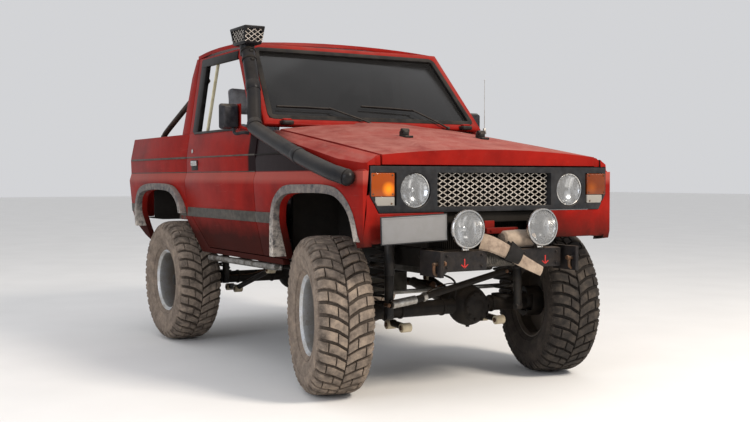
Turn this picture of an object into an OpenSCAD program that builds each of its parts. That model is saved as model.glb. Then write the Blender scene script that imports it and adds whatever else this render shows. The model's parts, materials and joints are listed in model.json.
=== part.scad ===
// Lifted short-wheelbase off-road 4x4 with a cut roof and an open load bed.
// Millimetres. +X is forward, +Y is the vehicle's left, +Z is up.
// The origin is on the ground, midway between the front and rear ends.

/* [Chassis] */
// Distance between the front and rear axles
wheelbase = 2310; // [2100:10:2700]
// Front overhang, from the front axle to the front of the bumper
front_overhang = 630; // [600:5:800]
// Rear overhang, from the rear axle to the tail of the body
rear_overhang = 915; // [880:5:1200]
// Distance between the centres of the two tyres on an axle
track = 1476; // [1440:2:1640]
// Angle at which the front wheels stand, to the right
parked_steer = 14; // [0:1:20]

/* [Wheels] */
// Outer radius of a tyre, at the tops of its lugs
tyre_r = 430; // [400:5:450]
// Width of a tyre
tyre_w = 305; // [240:5:320]
// Radius of a rim's flange
rim_r = 220; // [200:2:236]
// Radius of the bead seat under the flange
bead_r = 203; // [190:1:210]
// Distance between the rim's two flanges, outside
rim_w = 232; // [190:2:250]

/* [Body] */
// Half of the body's width across the doors
body_half = 830; // [800:5:880]
// Height of the sill's lower edge
sill_z = 665; // [640:5:700]
// Height of the bed rail and of the doors' waist
waist_z = 1475; // [1400:5:1520]
// Height of the roof panel's crown
roof_z = 2084; // [1960:2:2200]
// Thickness of the doors and body sides
wall = 42; // [30:1:60]
// Thickness of single panels, such as the hood and roof
skin = 24; // [16:1:36]
// Gap between a moving panel and its neighbours
panel_gap = 6; // [5:0.5:12]
// Length of a door along its waist
door_len = 1165; // [1000:5:1250]
// Lean of the windscreen back from upright, in degrees
screen_rake = 40; // [25:1:45]

/* [Hidden] */
$fn = 48;

body_red = "#a5302a";
frame_black = "#26241f";
axle_black = "#302c27";
rubber = "#6d6055";
rim_silver = "#c9ccd0";
trim_black = "#1f2024";

// Places along the length, measured from the middle of the wheelbase
mid_x = (rear_overhang - front_overhang) / 2;
front_x = wheelbase / 2;
rear_x = -wheelbase / 2;
nose_x = front_x + front_overhang;
tail_x = rear_x - rear_overhang;

// Wheels, hubs and kingpins
wheel_y = track / 2;
kingpin_in = 130;
kingpin_y = wheel_y - kingpin_in;
spindle_r = 30;
spindle_fit = 0.05;
hub_back = 72;
disc_r = 146;
disc_t = 20;
hub_r = 74;
mount_face = 104;
disc_plate = 10;
hub_nose_r = 46;
hub_nose = 196;
barrel_t = 6;
ball_r = 56;
knuckle_r = 90;
ball_fit = 3;
fork_open = 50;
arm_len = 160;
arm_rise = 52;
arm_t = 26;
eye_r = 20;
rod_r = 13;
pin_r = 8;
pin_fit = 0.05;
open_pin_fit = 1;

// Frame rails
rail_in = 285;
rail_w = 70;
rail_h = 110;
rail_low = 560;
rail_kick = 690;
cross_places = [[front_x + 330, rail_kick], [600, rail_low], [-400, rail_low], [rear_x + 330, rail_kick],
    [tail_x + 160, rail_kick]];
cross_w = 60;
cross_h = 60;

// Axles and suspension
tube_r = 44;
diff_r = 118;
diff_y = 165;
spring_r = 62;
spring_y = 425;
damper_r = 25;
seat_z = tyre_r + 52;
seat_t = 14;
tower_z = rail_kick + rail_h;
tower_t = 16;
link_r = 19;

// Body side, from the sill to the waist, as places across and up
trim_low = 905;
trim_high = 970;
crease_low = 1150;
crease_high = 1204;
belt_z = 1308;
sill_tuck = 62;
crease_out = 14;
waist_in = 25;
head_in = 104;
flare_out = 45;
head_z = roof_z - 88;

// Doors
door_front = 370;
door_cut_z = 1000;
door_cut_x = 290;
door_rear = door_front - door_len;
door_low = sill_z + 40;
hinge_out = body_half + crease_out + 8;
frame_bar = 58;

// Windscreen and roof
screen_low_x = 430;
screen_low_z = waist_z + 18;
screen_t = 34;
screen_bar = 52;
header_z = roof_z - 54;
screen_len = (header_z - screen_low_z) / cos(screen_rake);
header_x = screen_low_x - screen_len * sin(screen_rake);
glass_t = 6;
screen_half_low = body_half - waist_in - 8;
screen_half_high = body_half - head_in - 4;
roof_rear = door_rear - 36;
pillar_foot = door_rear - 150;

// Front end
face_x = front_x + 490;
face_t = 60;
face_low = 994;
face_half = body_half - 54;
face_top = 1228;
lamp_y = 509;
lamp_z = 1104;
lamp_r = 90;
mesh_half = 376;
mesh_low = 1020;
mesh_high = 1196;
signal_in = 624;
signal_out = 752;
spot_y = 247;
spot_z = 908;
spot_r = 100;
hood_half = 700;
hood_rear = 452;
hood_front = face_x - 12;
hood_centre = [1506, 1472, 1436, 1398, 1360, 1320];
hood_edge = [1462, 1427, 1393, 1359, 1323, 1286];
hood_lip_z = 1236;
hood_lip = 22;
valance_low = 842;
valance_in = 330;

// Load bed
bed_z = 862;
floor_z = 706;
floor_t = 12;
step_x = -610;
house_in = 560;
house_z = 1088;
bed_step = 3;
gate_half = 655;
gate_low = bed_z + 6;

function wheel_places() = [[front_x, -1], [front_x, 1], [rear_x, -1], [rear_x, 1]];
function lerp(a, b, t) = a + (b - a) * t;
function at(list, t) = let (n = len(list) - 1, s = min(n - 0.000001, t * n), i = floor(s))
    lerp(list[i], list[i + 1], s - i);

// Places a child given from the middle of the wheelbase
module car(c) {
    color(c) translate([mid_x, 0, 0]) children();
}

// A child given on the right, and its mirror image on the left
module both() {
    children();
    mirror([0, 1, 0]) children();
}

// An outline in X and Z, made solid from y0 to y1
module side_slab(points, y0, y1) {
    translate([0, y1, 0]) rotate([90, 0, 0]) linear_extrude(y1 - y0) polygon(points);
}

// An outline in Y and Z, made solid from x0 to x1
module cross_slab(points, x0, x1) {
    translate([x0, 0, 0]) rotate([90, 0, 90]) linear_extrude(x1 - x0) polygon(points);
}

// A box from its lowest to its highest corner
module block(a, b) {
    translate(a) cube(b - a);
}

// A round bar between two points
module bar(a, b, r) {
    d = b - a;
    translate(a) rotate([0, acos(d[2] / norm(d)), atan2(d[1], d[0])]) cylinder(h = norm(d), r = r);
}

// A round tube of even radius along a path, closed at both ends
module pipe(path, r, n = 14) {
    function unit(v) = v / norm(v);
    last = len(path) - 1;
    tangents = [for (i = [0:last]) let (a = max(i, 1), b = min(i, last - 1))
        unit(unit(path[a] - path[a - 1]) + unit(path[b + 1] - path[b]))];
    points = [for (i = [0:last]) let (t = tangents[i], u = unit(cross(t, abs(t[1]) > 0.9 ? [1, 0, 0] : [0, 1, 0])),
        v = cross(t, u)) for (k = [0:n - 1]) path[i] + r * (cos(360 * k / n) * u + sin(360 * k / n) * v)];
    walls = [for (i = [0:last - 1]) for (k = [0:n - 1]) [(i + 1) * n + k,
        (i + 1) * n + (k + 1) % n, i * n + (k + 1) % n, i * n + k]];
    ends = [[for (k = [0:n - 1]) k], [for (k = [0:n - 1]) last * n + n - 1 - k]];
    polyhedron(points, concat(walls, ends));
}

// A crowned panel: its top height at each place along X, on its centre line and at its edges
module crowned(x0, x1, centre, edge, half, t, nx = 10, ny = 10) {
    function place(i, j, drop) = let (s = i / nx, v = 2 * j / ny - 1)
        [lerp(x0, x1, s), v * half, lerp(at(centre, s), at(edge, s), v * v) - drop];
    row = ny + 1;
    sheet = (nx + 1) * row;
    points = concat([for (i = [0:nx]) for (j = [0:ny]) place(i, j, 0)],
        [for (i = [0:nx]) for (j = [0:ny]) place(i, j, t)]);
    quads = [for (i = [0:nx - 1]) for (j = [0:ny - 1]) [i * row + j, (i + 1) * row + j,
        (i + 1) * row + j + 1, i * row + j + 1]];
    top = [for (q = quads) for (k = [[0, 2, 1], [0, 3, 2]]) [q[k[0]], q[k[1]], q[k[2]]]];
    under = [for (f = top) [f[2] + sheet, f[1] + sheet, f[0] + sheet]];
    rim = concat([for (j = [0:ny]) j], [for (i = [1:nx]) i * row + ny],
        [for (j = [1:ny]) nx * row + ny - j], [for (i = [1:nx - 1]) (nx - i) * row]);
    last = len(rim);
    skirt = [for (k = [0:last - 1]) [rim[k] + sheet, rim[(k + 1) % last] + sheet, rim[(k + 1) % last], rim[k]]];
    polyhedron(points, concat(top, under, skirt));
}

// Section of the right body side or door, up to the waist or to the head of the door
function side_face(inset) = [[-(body_half - sill_tuck - inset), sill_z], [-(body_half - 6 - inset), trim_low],
    [-(body_half - inset), trim_high], [-(body_half + crease_out - inset), crease_low],
    [-(body_half - 2 - inset), crease_high], [-(body_half - inset), belt_z],
    [-(body_half - waist_in - inset), waist_z]];
function reversed(list) = [for (i = [len(list) - 1:-1:0]) list[i]];
function wall_section() = concat(side_face(0), reversed(side_face(wall)));
function head_face(inset) = [[-(body_half - head_in - inset), head_z]];
function door_section() = concat(side_face(0), head_face(0), head_face(wall), reversed(side_face(wall)));

// Outlines of the wheel arches, in X and Z
// A smooth curve through the corners of a line
function smooth_line(p, n = 4) = concat([for (i = [0:len(p) - 2], k = [0:n - 1])
    let (a = p[max(i - 1, 0)], b = p[i], c = p[i + 1], d = p[min(i + 2, len(p) - 1)], t = k / n)
    (2 * b + (c - a) * t + (2 * a - 5 * b + 4 * c - d) * t * t + (3 * b - a - 3 * c + d) * t * t * t) / 2],
    [p[len(p) - 1]]);
function front_arch(g) = concat([[front_x - 455 - g, sill_z - 100]], smooth_line(front_curve(g)),
    [[front_x + 405 + g, sill_z - 100]]);
function front_curve(g) = [[front_x - 455 - g, 900], [front_x - 448 - g, 960],
    [front_x - 415 - g * 0.8, 1030 + g * 0.5], [front_x - 315 - g * 0.3, 1077 + g], [front_x - 135, 1088 + g],
    [front_x + 145, 1086 + g], [front_x + 265 + g * 0.4, 1052 + g * 0.9],
    [front_x + 355 + g * 0.8, 975 + g * 0.4], [front_x + 405 + g, 850]];
function rear_arch(g) = concat([[rear_x + 495 + g, sill_z - 100], [rear_x + 495 + g, sill_z]],
    smooth_line(rear_curve(g)), [[rear_x - 585 - g, 700], [rear_x - 585 - g, sill_z - 100]]);
function rear_curve(g) = [[rear_x + 300 + g, 925], [rear_x + 255 + g * 0.9, 1000 + g * 0.3],
    [rear_x + 125 + g * 0.4, 1066 + g * 0.9], [rear_x - 85, 1084 + g], [rear_x - 425, 1076 + g],
    [rear_x - 585 - g * 0.5, 1030 + g * 0.9], [rear_x - 645 - g, 930], [rear_x - 628 - g, 820]];

// Plan of the right front wing's outer face. It narrows towards the nose, by more above its shoulder
function wing_plan(inset, nose) = [[door_front - 100, -(body_half + 40 - inset)],
    [front_x - 250, -(body_half + 30 - inset)], [front_x + 250, -(body_half - nose * 0.1 - inset)],
    [front_x + 440, -(body_half - nose * 0.6 - inset)], [face_x + 40, -(body_half - nose - inset)],
    [face_x + 40, -400], [door_front - 100, -400]];

// The space inside the right wing's skin, or inside the inner face of its wall
module wing_form(inset) {
    intersection() {
        cross_slab(concat([[-400, sill_z]], side_face(inset), [[-400, waist_z]]), door_front - 50, face_x + 30);
        union() {
            translate([0, 0, sill_z - 10]) linear_extrude(crease_high - sill_z + 10 - inset / 2)
                polygon(wing_plan(inset, 18));
            translate([0, 0, sill_z - 10]) linear_extrude(waist_z - sill_z + 20) polygon(wing_plan(inset, 56));
        }
    }
}

module frame_rails() {
    car(frame_black) both() side_slab([
        [tail_x + 60, rail_kick], [rear_x + 380, rail_kick], [rear_x + 520, rail_low], [front_x - 495, rail_low],
        [front_x - 325, rail_kick], [front_x + 415, rail_kick], [front_x + 415, rail_kick + rail_h],
        [front_x - 375, rail_kick + rail_h], [front_x - 545, rail_low + rail_h], [rear_x + 570, rail_low + rail_h],
        [rear_x + 430, rail_kick + rail_h], [tail_x + 60, rail_kick + rail_h]], -rail_in - rail_w, -rail_in);
}

module crossmembers() {
    car(frame_black) {
        for (c = cross_places)
            block([c[0] - cross_w / 2, -rail_in, c[1] + (rail_h - cross_h) / 2],
                [c[0] + cross_w / 2, rail_in, c[1] + (rail_h + cross_h) / 2]);
        // Spring towers, standing out from the rails
        for (x = [front_x, rear_x]) both()
            block([x - spring_r - 8, -spring_y - spring_r - 6, tower_z - tower_t],
                [x + spring_r + 8, -rail_in - rail_w, tower_z]);
    }
}

module axle_tube() {
    difference() {
        union() {
            translate([0, kingpin_y, 0]) rotate([90, 0, 0]) cylinder(h = 2 * kingpin_y, r = tube_r);
            translate([0, diff_y, 0]) sphere(r = diff_r);
            // Pinion nose
            translate([0, diff_y, 0]) children();
            // Spring seats
            both() translate([0, -spring_y, seat_z - tyre_r - seat_t]) cylinder(h = seat_t, r = spring_r + 8);
            both() translate([0, -spring_y, 0]) cylinder(h = seat_z - tyre_r - seat_t + 1, r = tube_r - 4);
        }
        // Mating pads for the links, in front of and behind the tube
        both() for (s = [-1, 1])
            translate([s * (tube_r + 30), -rail_in - rail_w / 2 + 2, 0]) cube([60, link_r * 2 + 4, 300], center = true);
    }
}

module front_axle() {
    car(axle_black) translate([front_x, 0, tyre_r]) {
        axle_tube() rotate([0, -90, 0]) cylinder(h = 210, r1 = 78, r2 = 48);
        both() translate([0, -kingpin_y, 0]) sphere(r = ball_r);
    }
}

module rear_axle() {
    car(axle_black) translate([rear_x, 0, tyre_r]) {
        axle_tube() rotate([0, 90, 0]) cylinder(h = 210, r1 = 78, r2 = 48);
        both() {
            translate([0, -kingpin_y, 0]) rotate([90, 0, 0]) cylinder(h = hub_back - 4, r = hub_r - 6);
            translate([0, -kingpin_y, 0]) rotate([90, 0, 0]) cylinder(h = mount_face + 30, r = spindle_r);
        }
    }
}

module springs_and_dampers() {
    car("#2c2b29") for (x = [front_x, rear_x]) both() {
        translate([x, -spring_y, seat_z]) difference() {
            cylinder(h = tower_z - tower_t - seat_z, r = spring_r);
            translate([0, 0, -1]) cylinder(h = tower_z, r = spring_r - 14);
        }
        bar([x + 118, -spring_y - 18, seat_z - 60], [x + 114, -spring_y - 14, 660], damper_r);
        bar([x + 114, -spring_y - 14, 660], [x + 110, -spring_y - 10, tower_z + 40], damper_r / 2);
    }
}

module suspension_links() {
    car(axle_black) {
        // Trailing arms of the front axle and leading arms of the rear axle
        both() {
            pipe([[front_x + 96, -322, tyre_r - 84], [front_x - 60, -322, tyre_r - 76],
                [front_x - 640, -320, rail_low - 30]], link_r);
            pipe([[rear_x - 96, -322, tyre_r - 84], [rear_x + 60, -322, tyre_r - 76],
                [rear_x + 640, -320, rail_low - 30]], link_r);
        }
        // Track bars across the vehicle
        pipe([[front_x + 178, -470, tyre_r + 58], [front_x + 178, -300, tyre_r + 78],
            [front_x + 178, 300, tyre_r + 206]], link_r);
        pipe([[rear_x - 178, 440, tyre_r + 48], [rear_x - 178, -300, tyre_r + 206]], link_r);
    }
}

module driveline() {
    car(axle_black) {
        block([-330, -150, 450], [560, 130, 676]);
        bar([front_x - 222, diff_y, tyre_r + 2], [566, diff_y - 4, 520], 30);
        bar([rear_x + 222, diff_y, tyre_r + 2], [-336, diff_y - 60, 520], 30);
    }
}

module engine() {
    car("#4b4a46") block([644, -250, 640], [1300, 250, 1200]);
}

module fuel_tank() {
    car("#3a3631") block([-1000, -270, 590], [-480, -100, 690]);
}

module exhaust() {
    car("#5a4a3c") {
        pipe([[690, 236, 500], [300, 236, 500], [-300, 225, 500]], 26);
        translate([-306, 225, 500]) rotate([0, -90, 0]) cylinder(h = 420, r = 52);
    }
}

module floor_pan() {
    car(body_red) {
        difference() {
            union() {
                // Cab floor, riser and bed floor
                side_slab([[590, floor_z], [590, floor_z + floor_t], [step_x + floor_t, floor_z + floor_t],
                    [step_x + floor_t, bed_z - bed_step], [tail_x + wall + 10, bed_z - bed_step],
                    [tail_x + wall + 10, bed_z - floor_t], [step_x, bed_z - floor_t], [step_x, floor_z]],
                    -(body_half - sill_tuck - wall - 24), body_half - sill_tuck - wall - 24);
                // Raised middle of the bed floor, where cargo rests
                block([tail_x + wall + 40, -(house_in - 10), bed_z - floor_t], [step_x - 20, house_in - 10, bed_z]);
                // Wheel houses beside the bed
                both() block([rear_x - 520, -(body_half - wall - 18), bed_z - bed_step - 1],
                    [rear_x + 470, -house_in, house_z]);
            }
            both() block([rear_x - 510, -(body_half), bed_z - 40], [rear_x + 460, -house_in - 8, house_z - 8]);
        }
    }
}

module bulkhead() {
    car(body_red) {
        // Firewall, with the cowl behind the hood
        block([600, -(body_half - sill_tuck - wall - 24), floor_z - 10], [624, body_half - sill_tuck - wall - 24, 1180]);
        block([hood_rear - 26, -(hood_half - 2), 1180], [624, hood_half - 2, 1204]);
        block([hood_rear - 26, -(hood_half - 2), 1204], [hood_rear - panel_gap, hood_half - 2, hood_edge[0] - 20]);
        crowned(screen_low_x + 3, hood_rear - panel_gap, [hood_centre[0] - 8, hood_centre[0] - 8],
            [hood_edge[0] - 6, hood_edge[0] - 6], hood_half - 2, 80, 1, 12);
        // Aprons beside the engine
        both() side_slab([[624, tower_z + 6], [face_x - face_t - 4, tower_z + 6], [face_x - face_t - 4, 1180],
            [624, 1290]], -398, -386);
    }
}

module side_panels() {
    car(body_red) both() {
        difference() {
            intersection() {
                cross_slab(wall_section(), tail_x, front_x);
                side_slab([[tail_x + 40, sill_z + 155], [tail_x + 16, 1000], [tail_x, 1330], [tail_x + 26, waist_z],
                    [door_rear - panel_gap, waist_z], [door_rear - panel_gap, door_cut_z - panel_gap / 2],
                    [door_rear + door_cut_x - panel_gap, door_low - panel_gap], [front_x - 520, door_low - panel_gap],
                    [front_x - 520, sill_z], [rear_x - 520, sill_z], [rear_x - 700, sill_z + 60]], -body_half - 60, 0);
            }
            side_slab(rear_arch(0), -body_half - 60, 0);
        }
        // Corner post beside the tailgate
        block([tail_x + 20, -(body_half - waist_in - 12), bed_z], [tail_x + 60, -gate_half - panel_gap, waist_z]);
        // Rail along the top of the bed
        block([tail_x + 50, -(body_half - waist_in - wall + 10), waist_z - 24],
            [door_rear - panel_gap, -(body_half - waist_in - wall - 40), waist_z]);
    }
}

function wing_top(x) = at(hood_edge, (x - hood_rear) / (hood_front - hood_rear));

module front_wings() {
    car(body_red) both() {
        difference() {
            intersection() {
                difference() {
                    wing_form(0);
                    wing_form(wall);
                }
                side_slab(concat([[door_front + panel_gap, door_low - panel_gap + 6],
                    [door_front + panel_gap, waist_z - 4], [hood_rear, wing_top(hood_rear)]],
                    [for (i = [1:6]) let (x = lerp(hood_rear, hood_front, i / 6)) [x, wing_top(x)]],
                    [[face_x - 6, face_top + 20], [face_x - 6, valance_low - 14],
                    [front_x - 420, door_low - panel_gap + 6]]), -body_half - 60, 0);
            }
            side_slab(front_arch(0), -body_half - 60, 0);
            // Room for the grille panel
            block([face_x - face_t - 4, -face_half - 3, face_low - 4], [face_x + 10, 0, face_top + 4]);
        }
        // Front of the wing's top, beside the hood's front edge
        intersection() {
            wing_form(0);
            side_slab([[hood_front - 40, face_top + 4], [hood_front - 8, face_top + 4],
                [hood_front - 8, wing_top(hood_front) - 10], [hood_front - 40, wing_top(hood_front) - 6]],
                -body_half, -(hood_half + panel_gap));
        }
        // Top flange beside the hood
        flange = [for (i = [0:6]) lerp(hood_rear - 26, hood_front - 12, i / 6)];
        intersection() {
            wing_form(wall / 2);
            side_slab(concat([for (x = flange) [x, wing_top(max(hood_rear, x)) - 6]],
                [for (x = reversed(flange)) [x, wing_top(max(hood_rear, x)) - 30]]),
                -body_half, -(hood_half + panel_gap));
        }
    }
}

module front_panel() {
    car("#22252a") difference() {
        block([face_x - face_t, -face_half, face_low], [face_x, face_half, face_top]);
        block([face_x - face_t - 1, -mesh_half, mesh_low], [face_x + 1, mesh_half, mesh_high]);
        both() {
            translate([face_x - face_t - 1, -lamp_y, lamp_z]) rotate([0, 90, 0]) cylinder(h = face_t + 2, r = lamp_r + 2);
            block([face_x - 44, -signal_out, 1030], [face_x + 1, -signal_in, 1196]);
        }
    }
}

module grille_mesh() {
    car("#b0a9a0") block([face_x - 40, -mesh_half + 1, mesh_low + 1], [face_x - 34, mesh_half - 1, mesh_high - 1]);
}

module valance() {
    car(body_red) {
        both() side_slab([[face_x - 30, valance_low], [face_x - 6, valance_low], [face_x - 2, face_low - 2],
            [face_x - 30, face_low - 2]], -(face_half - wall + 2), -valance_in);
        // Bar behind the lamps
        block([face_x - 60, -(face_half - wall + 2), face_low - 60], [face_x - 31, face_half - wall + 2, face_low - 6]);
    }
}

module front_lamps() {
    car("#d8d8d8") both() {
        translate([face_x - 56, -lamp_y, lamp_z]) rotate([0, 90, 0]) cylinder(h = 50, r = lamp_r);
        block([face_x - 42, -signal_out + 2, 1032], [face_x + 4, -signal_in - 2, 1194]);
    }
}

module driving_lamps() {
    car("#c8c8c8") both() {
        translate([face_x + 16, -spot_y, spot_z]) rotate([0, 90, 0]) cylinder(h = 70, r1 = 60, r2 = spot_r);
        translate([face_x + 86, -spot_y, spot_z]) rotate([0, 90, 0]) cylinder(h = 16, r = spot_r);
        block([face_x + 30, -spot_y - 12, 795], [face_x + 50, -spot_y + 12, spot_z - 78]);
    }
}

// A frame in the leaning plane of the windscreen: across and up its slope, from its lower edge
module raked(points, x0, x1) {
    translate([screen_low_x, 0, screen_low_z]) rotate([0, -screen_rake, 0]) cross_slab(points, x0, x1);
}
function trapezium(low, high, y0, y1) = [[-low, y0], [low, y0], [high, y1], [-high, y1]];

module screen_frame() {
    car(body_red) difference() {
        raked(trapezium(screen_half_low, screen_half_high, 0, screen_len), -screen_t, 0);
        raked(trapezium(screen_half_low - screen_bar, screen_half_high - screen_bar, screen_bar, screen_len - screen_bar),
            -screen_t - 1, 1);
    }
}

module screen_glass() {
    car("#3a3a3a") raked(trapezium(screen_half_low - screen_bar, screen_half_high - screen_bar, screen_bar,
        screen_len - screen_bar), -screen_t / 2 - glass_t / 2, -screen_t / 2 + glass_t / 2);
}

module roof() {
    car(body_red) {
        crowned(roof_rear, header_x - screen_t - 2, [roof_z - 26, roof_z - 4, roof_z, roof_z - 8, roof_z - 22],
            [roof_z - 64, roof_z - 48, roof_z - 44, roof_z - 46, roof_z - 54], screen_half_high + 2, skin);
        // Pillars of the hoop behind the doors
        both() intersection() {
            cross_slab([[-(body_half - waist_in), waist_z + 1], [-(body_half - head_in), head_z + 4],
                [-(body_half - head_in - wall), head_z + 4], [-(body_half - waist_in - wall), waist_z + 1]],
                tail_x, front_x);
            side_slab([[pillar_foot, waist_z + 1], [door_rear - panel_gap, waist_z + 1], [door_rear - panel_gap, head_z + 4],
                [roof_rear - 20, head_z + 4], [roof_rear - 70, head_z - 120]], -body_half, 0);
        }
    }
}

module roll_bar() {
    car(trim_black) both() pipe([[pillar_foot - 30, -600, head_z - 120], [pillar_foot - 160, -612, head_z - 200],
        [tail_x + 330, -640, waist_z + 60], [tail_x + 270, -645, waist_z - 30], [tail_x + 250, -645, bed_z + 1]], 22);
}

module front_bumper() {
    car(trim_black) {
        both() block([nose_x - 190, -392, 690], [nose_x - 78, -108, 790]);
        both() block([nose_x - 190, -432, 690], [nose_x - 140, -392, 790]);
        block([nose_x - 190, -108, 690], [nose_x - 184, 108, 790]);
        both() difference() {
            block([nose_x - 190, -452, 668], [nose_x, -432, 800]);
            translate([nose_x - 34, -460, 736]) rotate([-90, 0, 0]) cylinder(h = 40, r = 13);
        }
    }
}

module winch() {
    car("#3a3a3c") {
        translate([nose_x - 132, -100, 742]) rotate([-90, 0, 0]) cylinder(h = 200, r = 46);
    }
}

module winch_strap() {
    car("#9c8878") translate([nose_x - 74, 0, 0]) cross_slab([[-70, 838], [-30, 858], [230, 712], [205, 684]], 0, 10);
}

module snorkel() {
    car(trim_black) {
        pipe([[176, -788, 1950], [306, -812, 1720], [404, -848, 1520], [436, -858, 1482], [490, -866, 1452],
            [1060, -884, 1290], [1500, -878, 1188], [1584, -868, 1168]], 42, 20);
        block([30, -850, 1985], [272, -712, 2094]);
        translate([160, -785, 1900]) cylinder(h = 84, r = 48);
    }
}

module flares() {
    car(rubber) both() {
        difference() {
            intersection() {
                side_slab(front_arch(46), -(body_half + flare_out), -(body_half - 100));
                linear_extrude(waist_z) polygon(wing_plan(crease_out - flare_out + 26, 18));
            }
            side_slab(front_arch(0), -(body_half + 100), 0);
            wing_form(0);
            block([0, -1000, 0], [front_x, 0, 720]);
            block([front_x, -1000, 0], [2500, 0, 850]);
        }
        difference() {
            side_slab(rear_arch(46), -(body_half + flare_out), -(body_half - 50));
            side_slab(rear_arch(0), -(body_half + 100), 0);
            cross_slab(concat([[0, sill_z]], side_face(0), [[0, waist_z]]), tail_x - 10, 0);
            block([rear_x, -1000, 0], [0, 0, 925]);
            block([-2500, -1000, 0], [rear_x, 0, 800]);
        }
    }
}

module step_bars() {
    car("#8c8a86") both() pipe([[-560, -710, 630], [-510, -750, 630], [430, -750, 640], [480, -710, 640]], 21);
}

module seats() {
    car("#77777a") both() {
        block([-560, -600, floor_z + floor_t + 160], [-60, -130, floor_z + floor_t + 320]);
        side_slab([[-560, 1044], [-460, 1044], [-590, 1580], [-680, 1570]], -620, -170);
        side_slab([[-612, 1610], [-640, 1810], [-730, 1800], [-700, 1600]], -580, -300);
    }
}

module dashboard() {
    car("#2b2a29") block([150, -(body_half - wall - 60), 1190], [hood_rear - 32, body_half - wall - 60, 1430]);
}

module rear_bumper() {
    car(trim_black) difference() {
        block([tail_x + 20, -400, 690], [tail_x + 56, 400, 790]);
        translate([tail_x + 10, 0, 740]) rotate([0, 90, 0]) cylinder(h = 60, r = 20);
    }
}

module hood() {
    car(body_red) {
        crowned(hood_rear, hood_front, hood_centre, hood_edge, hood_half, skin, 15, 12);
        // Front edge, turned down to the grille panel
        intersection() {
            crowned(hood_front - hood_lip, hood_front, [wing_top(hood_front - hood_lip) + 34, hood_centre[5]],
                [wing_top(hood_front - hood_lip), hood_edge[5]], hood_half, 160, 1, 12);
            block([hood_front - hood_lip, -hood_half, hood_lip_z], [hood_front, hood_half, roof_z]);
        }
    }
}

// Where the door's front edge meets its head, a little behind the windscreen pillar
door_head_x = header_x + (header_z - head_z) * tan(screen_rake) - 62;

module door() {
    difference() {
        intersection() {
            cross_slab(door_section(), door_rear, door_front);
            side_slab([[door_rear, door_cut_z], [door_rear + door_cut_x, door_low], [door_front, door_low],
                [door_front, waist_z], [door_head_x, head_z], [door_rear, head_z]], -body_half - 60, 0);
        }
        side_slab([[door_rear + frame_bar + 60, waist_z + 4], [door_front - frame_bar - 40, waist_z + 4],
            [door_head_x - 40, head_z - frame_bar], [door_rear + frame_bar + 60, head_z - frame_bar]],
            -body_half - 60, 0);
    }
    // Mirror on its arm
    bar([250, -(body_half - 40), waist_z - 20], [180, -(body_half + 50), waist_z + 20], 9);
    block([140, -(body_half + 142), waist_z - 12], [200, -(body_half + 14), waist_z + 148]);
}

module door_right() {
    car(body_red) door();
}

module door_left() {
    car(body_red) mirror([0, 1, 0]) door();
}

module tailgate() {
    car(body_red) block([tail_x + 20, -gate_half, gate_low], [tail_x + 20 + wall, gate_half, waist_z - 4]);
}

module steering_wheel() {
    car("#1c1c1c") translate([60, 360, 1400]) rotate([0, -62, 0]) {
        rotate_extrude() translate([180, 0]) circle(r = 14);
        cylinder(h = 20, r = 45, center = true);
        for (a = [0, 120, 240]) rotate([0, 0, a]) block([30, -14, -6], [172, 14, 6]);
    }
}

module knuckle(fit) {
    difference() {
        union() {
            translate([0, 30, 0]) rotate([90, 0, 0]) cylinder(h = hub_back - 4 + 30, r = knuckle_r);
            translate([-arm_len / 2, 0, arm_rise]) cube([arm_len, 2 * eye_r - 6, arm_t - 4], center = true);
            translate([-arm_len, 0, arm_rise]) cylinder(h = arm_t, r = eye_r, center = true);
            rotate([90, 0, 0]) cylinder(h = mount_face + 30, r = spindle_r);
        }
        cylinder(h = 2 * (ball_r + ball_fit), r = ball_r + ball_fit, center = true);
        // Open inboard, where the axle tube comes in
        block([-200, 0, -fork_open], [200, 200, fork_open]);
        block([-200, 32, -200], [arm_len - 260, 200, 200]);
        translate([-arm_len, 0, 0]) cylinder(h = 300, r = pin_r + fit);
    }
}

module knuckle_right() {
    car(axle_black) translate([front_x, -kingpin_y, tyre_r]) rotate([0, 0, -parked_steer]) knuckle(pin_fit);
}

module knuckle_left() {
    car(axle_black) translate([front_x, kingpin_y, tyre_r]) rotate([0, 0, -parked_steer])
        mirror([0, 1, 0]) knuckle(open_pin_fit);
}

module tie_rod() {
    at_pin = [front_x - arm_len * cos(parked_steer), arm_len * sin(parked_steer), tyre_r + arm_rise + arm_t / 2 + 4 + rod_r];
    car("#8f8b85") translate(at_pin) {
        translate([0, kingpin_y, 0]) rotate([90, 0, 0]) cylinder(h = 2 * kingpin_y, r = rod_r);
        for (s = [-1, 1]) translate([0, s * kingpin_y, 0]) {
            translate([0, 0, -rod_r - 3]) cylinder(h = 2 * rod_r + 6, r = 17);
            translate([0, 0, -rod_r - arm_t - 10]) cylinder(h = arm_t + 12, r = pin_r);
        }
    }
}

// Places a wheel part at one corner, facing out, turned with the steering at the front
module corner(place) {
    translate([place[0], place[1] * kingpin_y, tyre_r]) rotate([0, 0, place[0] > 0 ? -parked_steer : 0])
        mirror([0, place[1] > 0 ? 1 : 0, 0]) rotate([90, 0, 0]) children();
}

module tyre() {
    h = tyre_w / 2;
    a = rim_w / 2 - 16;
    half = [[bead_r, a], [rim_r, a + 4], [rim_r + 5, a + 16], [rim_r + 55, h - 5], [rim_r + 105, h],
        [tyre_r - 48, h - 3], [tyre_r - 14, h - 22], [tyre_r, h - 58]];
    // The air space, open at the bottom between the beads
    hollow = [[bead_r, a - 26], [rim_r + 60, h - 20], [tyre_r - 62, h - 20], [tyre_r - 30, h - 62]];
    rotate_extrude($fn = 96) translate([0, kingpin_in])
        polygon(concat([for (p = concat(reversed(half), hollow)) [p[0], -p[1]]], reversed(hollow), half));
}

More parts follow.
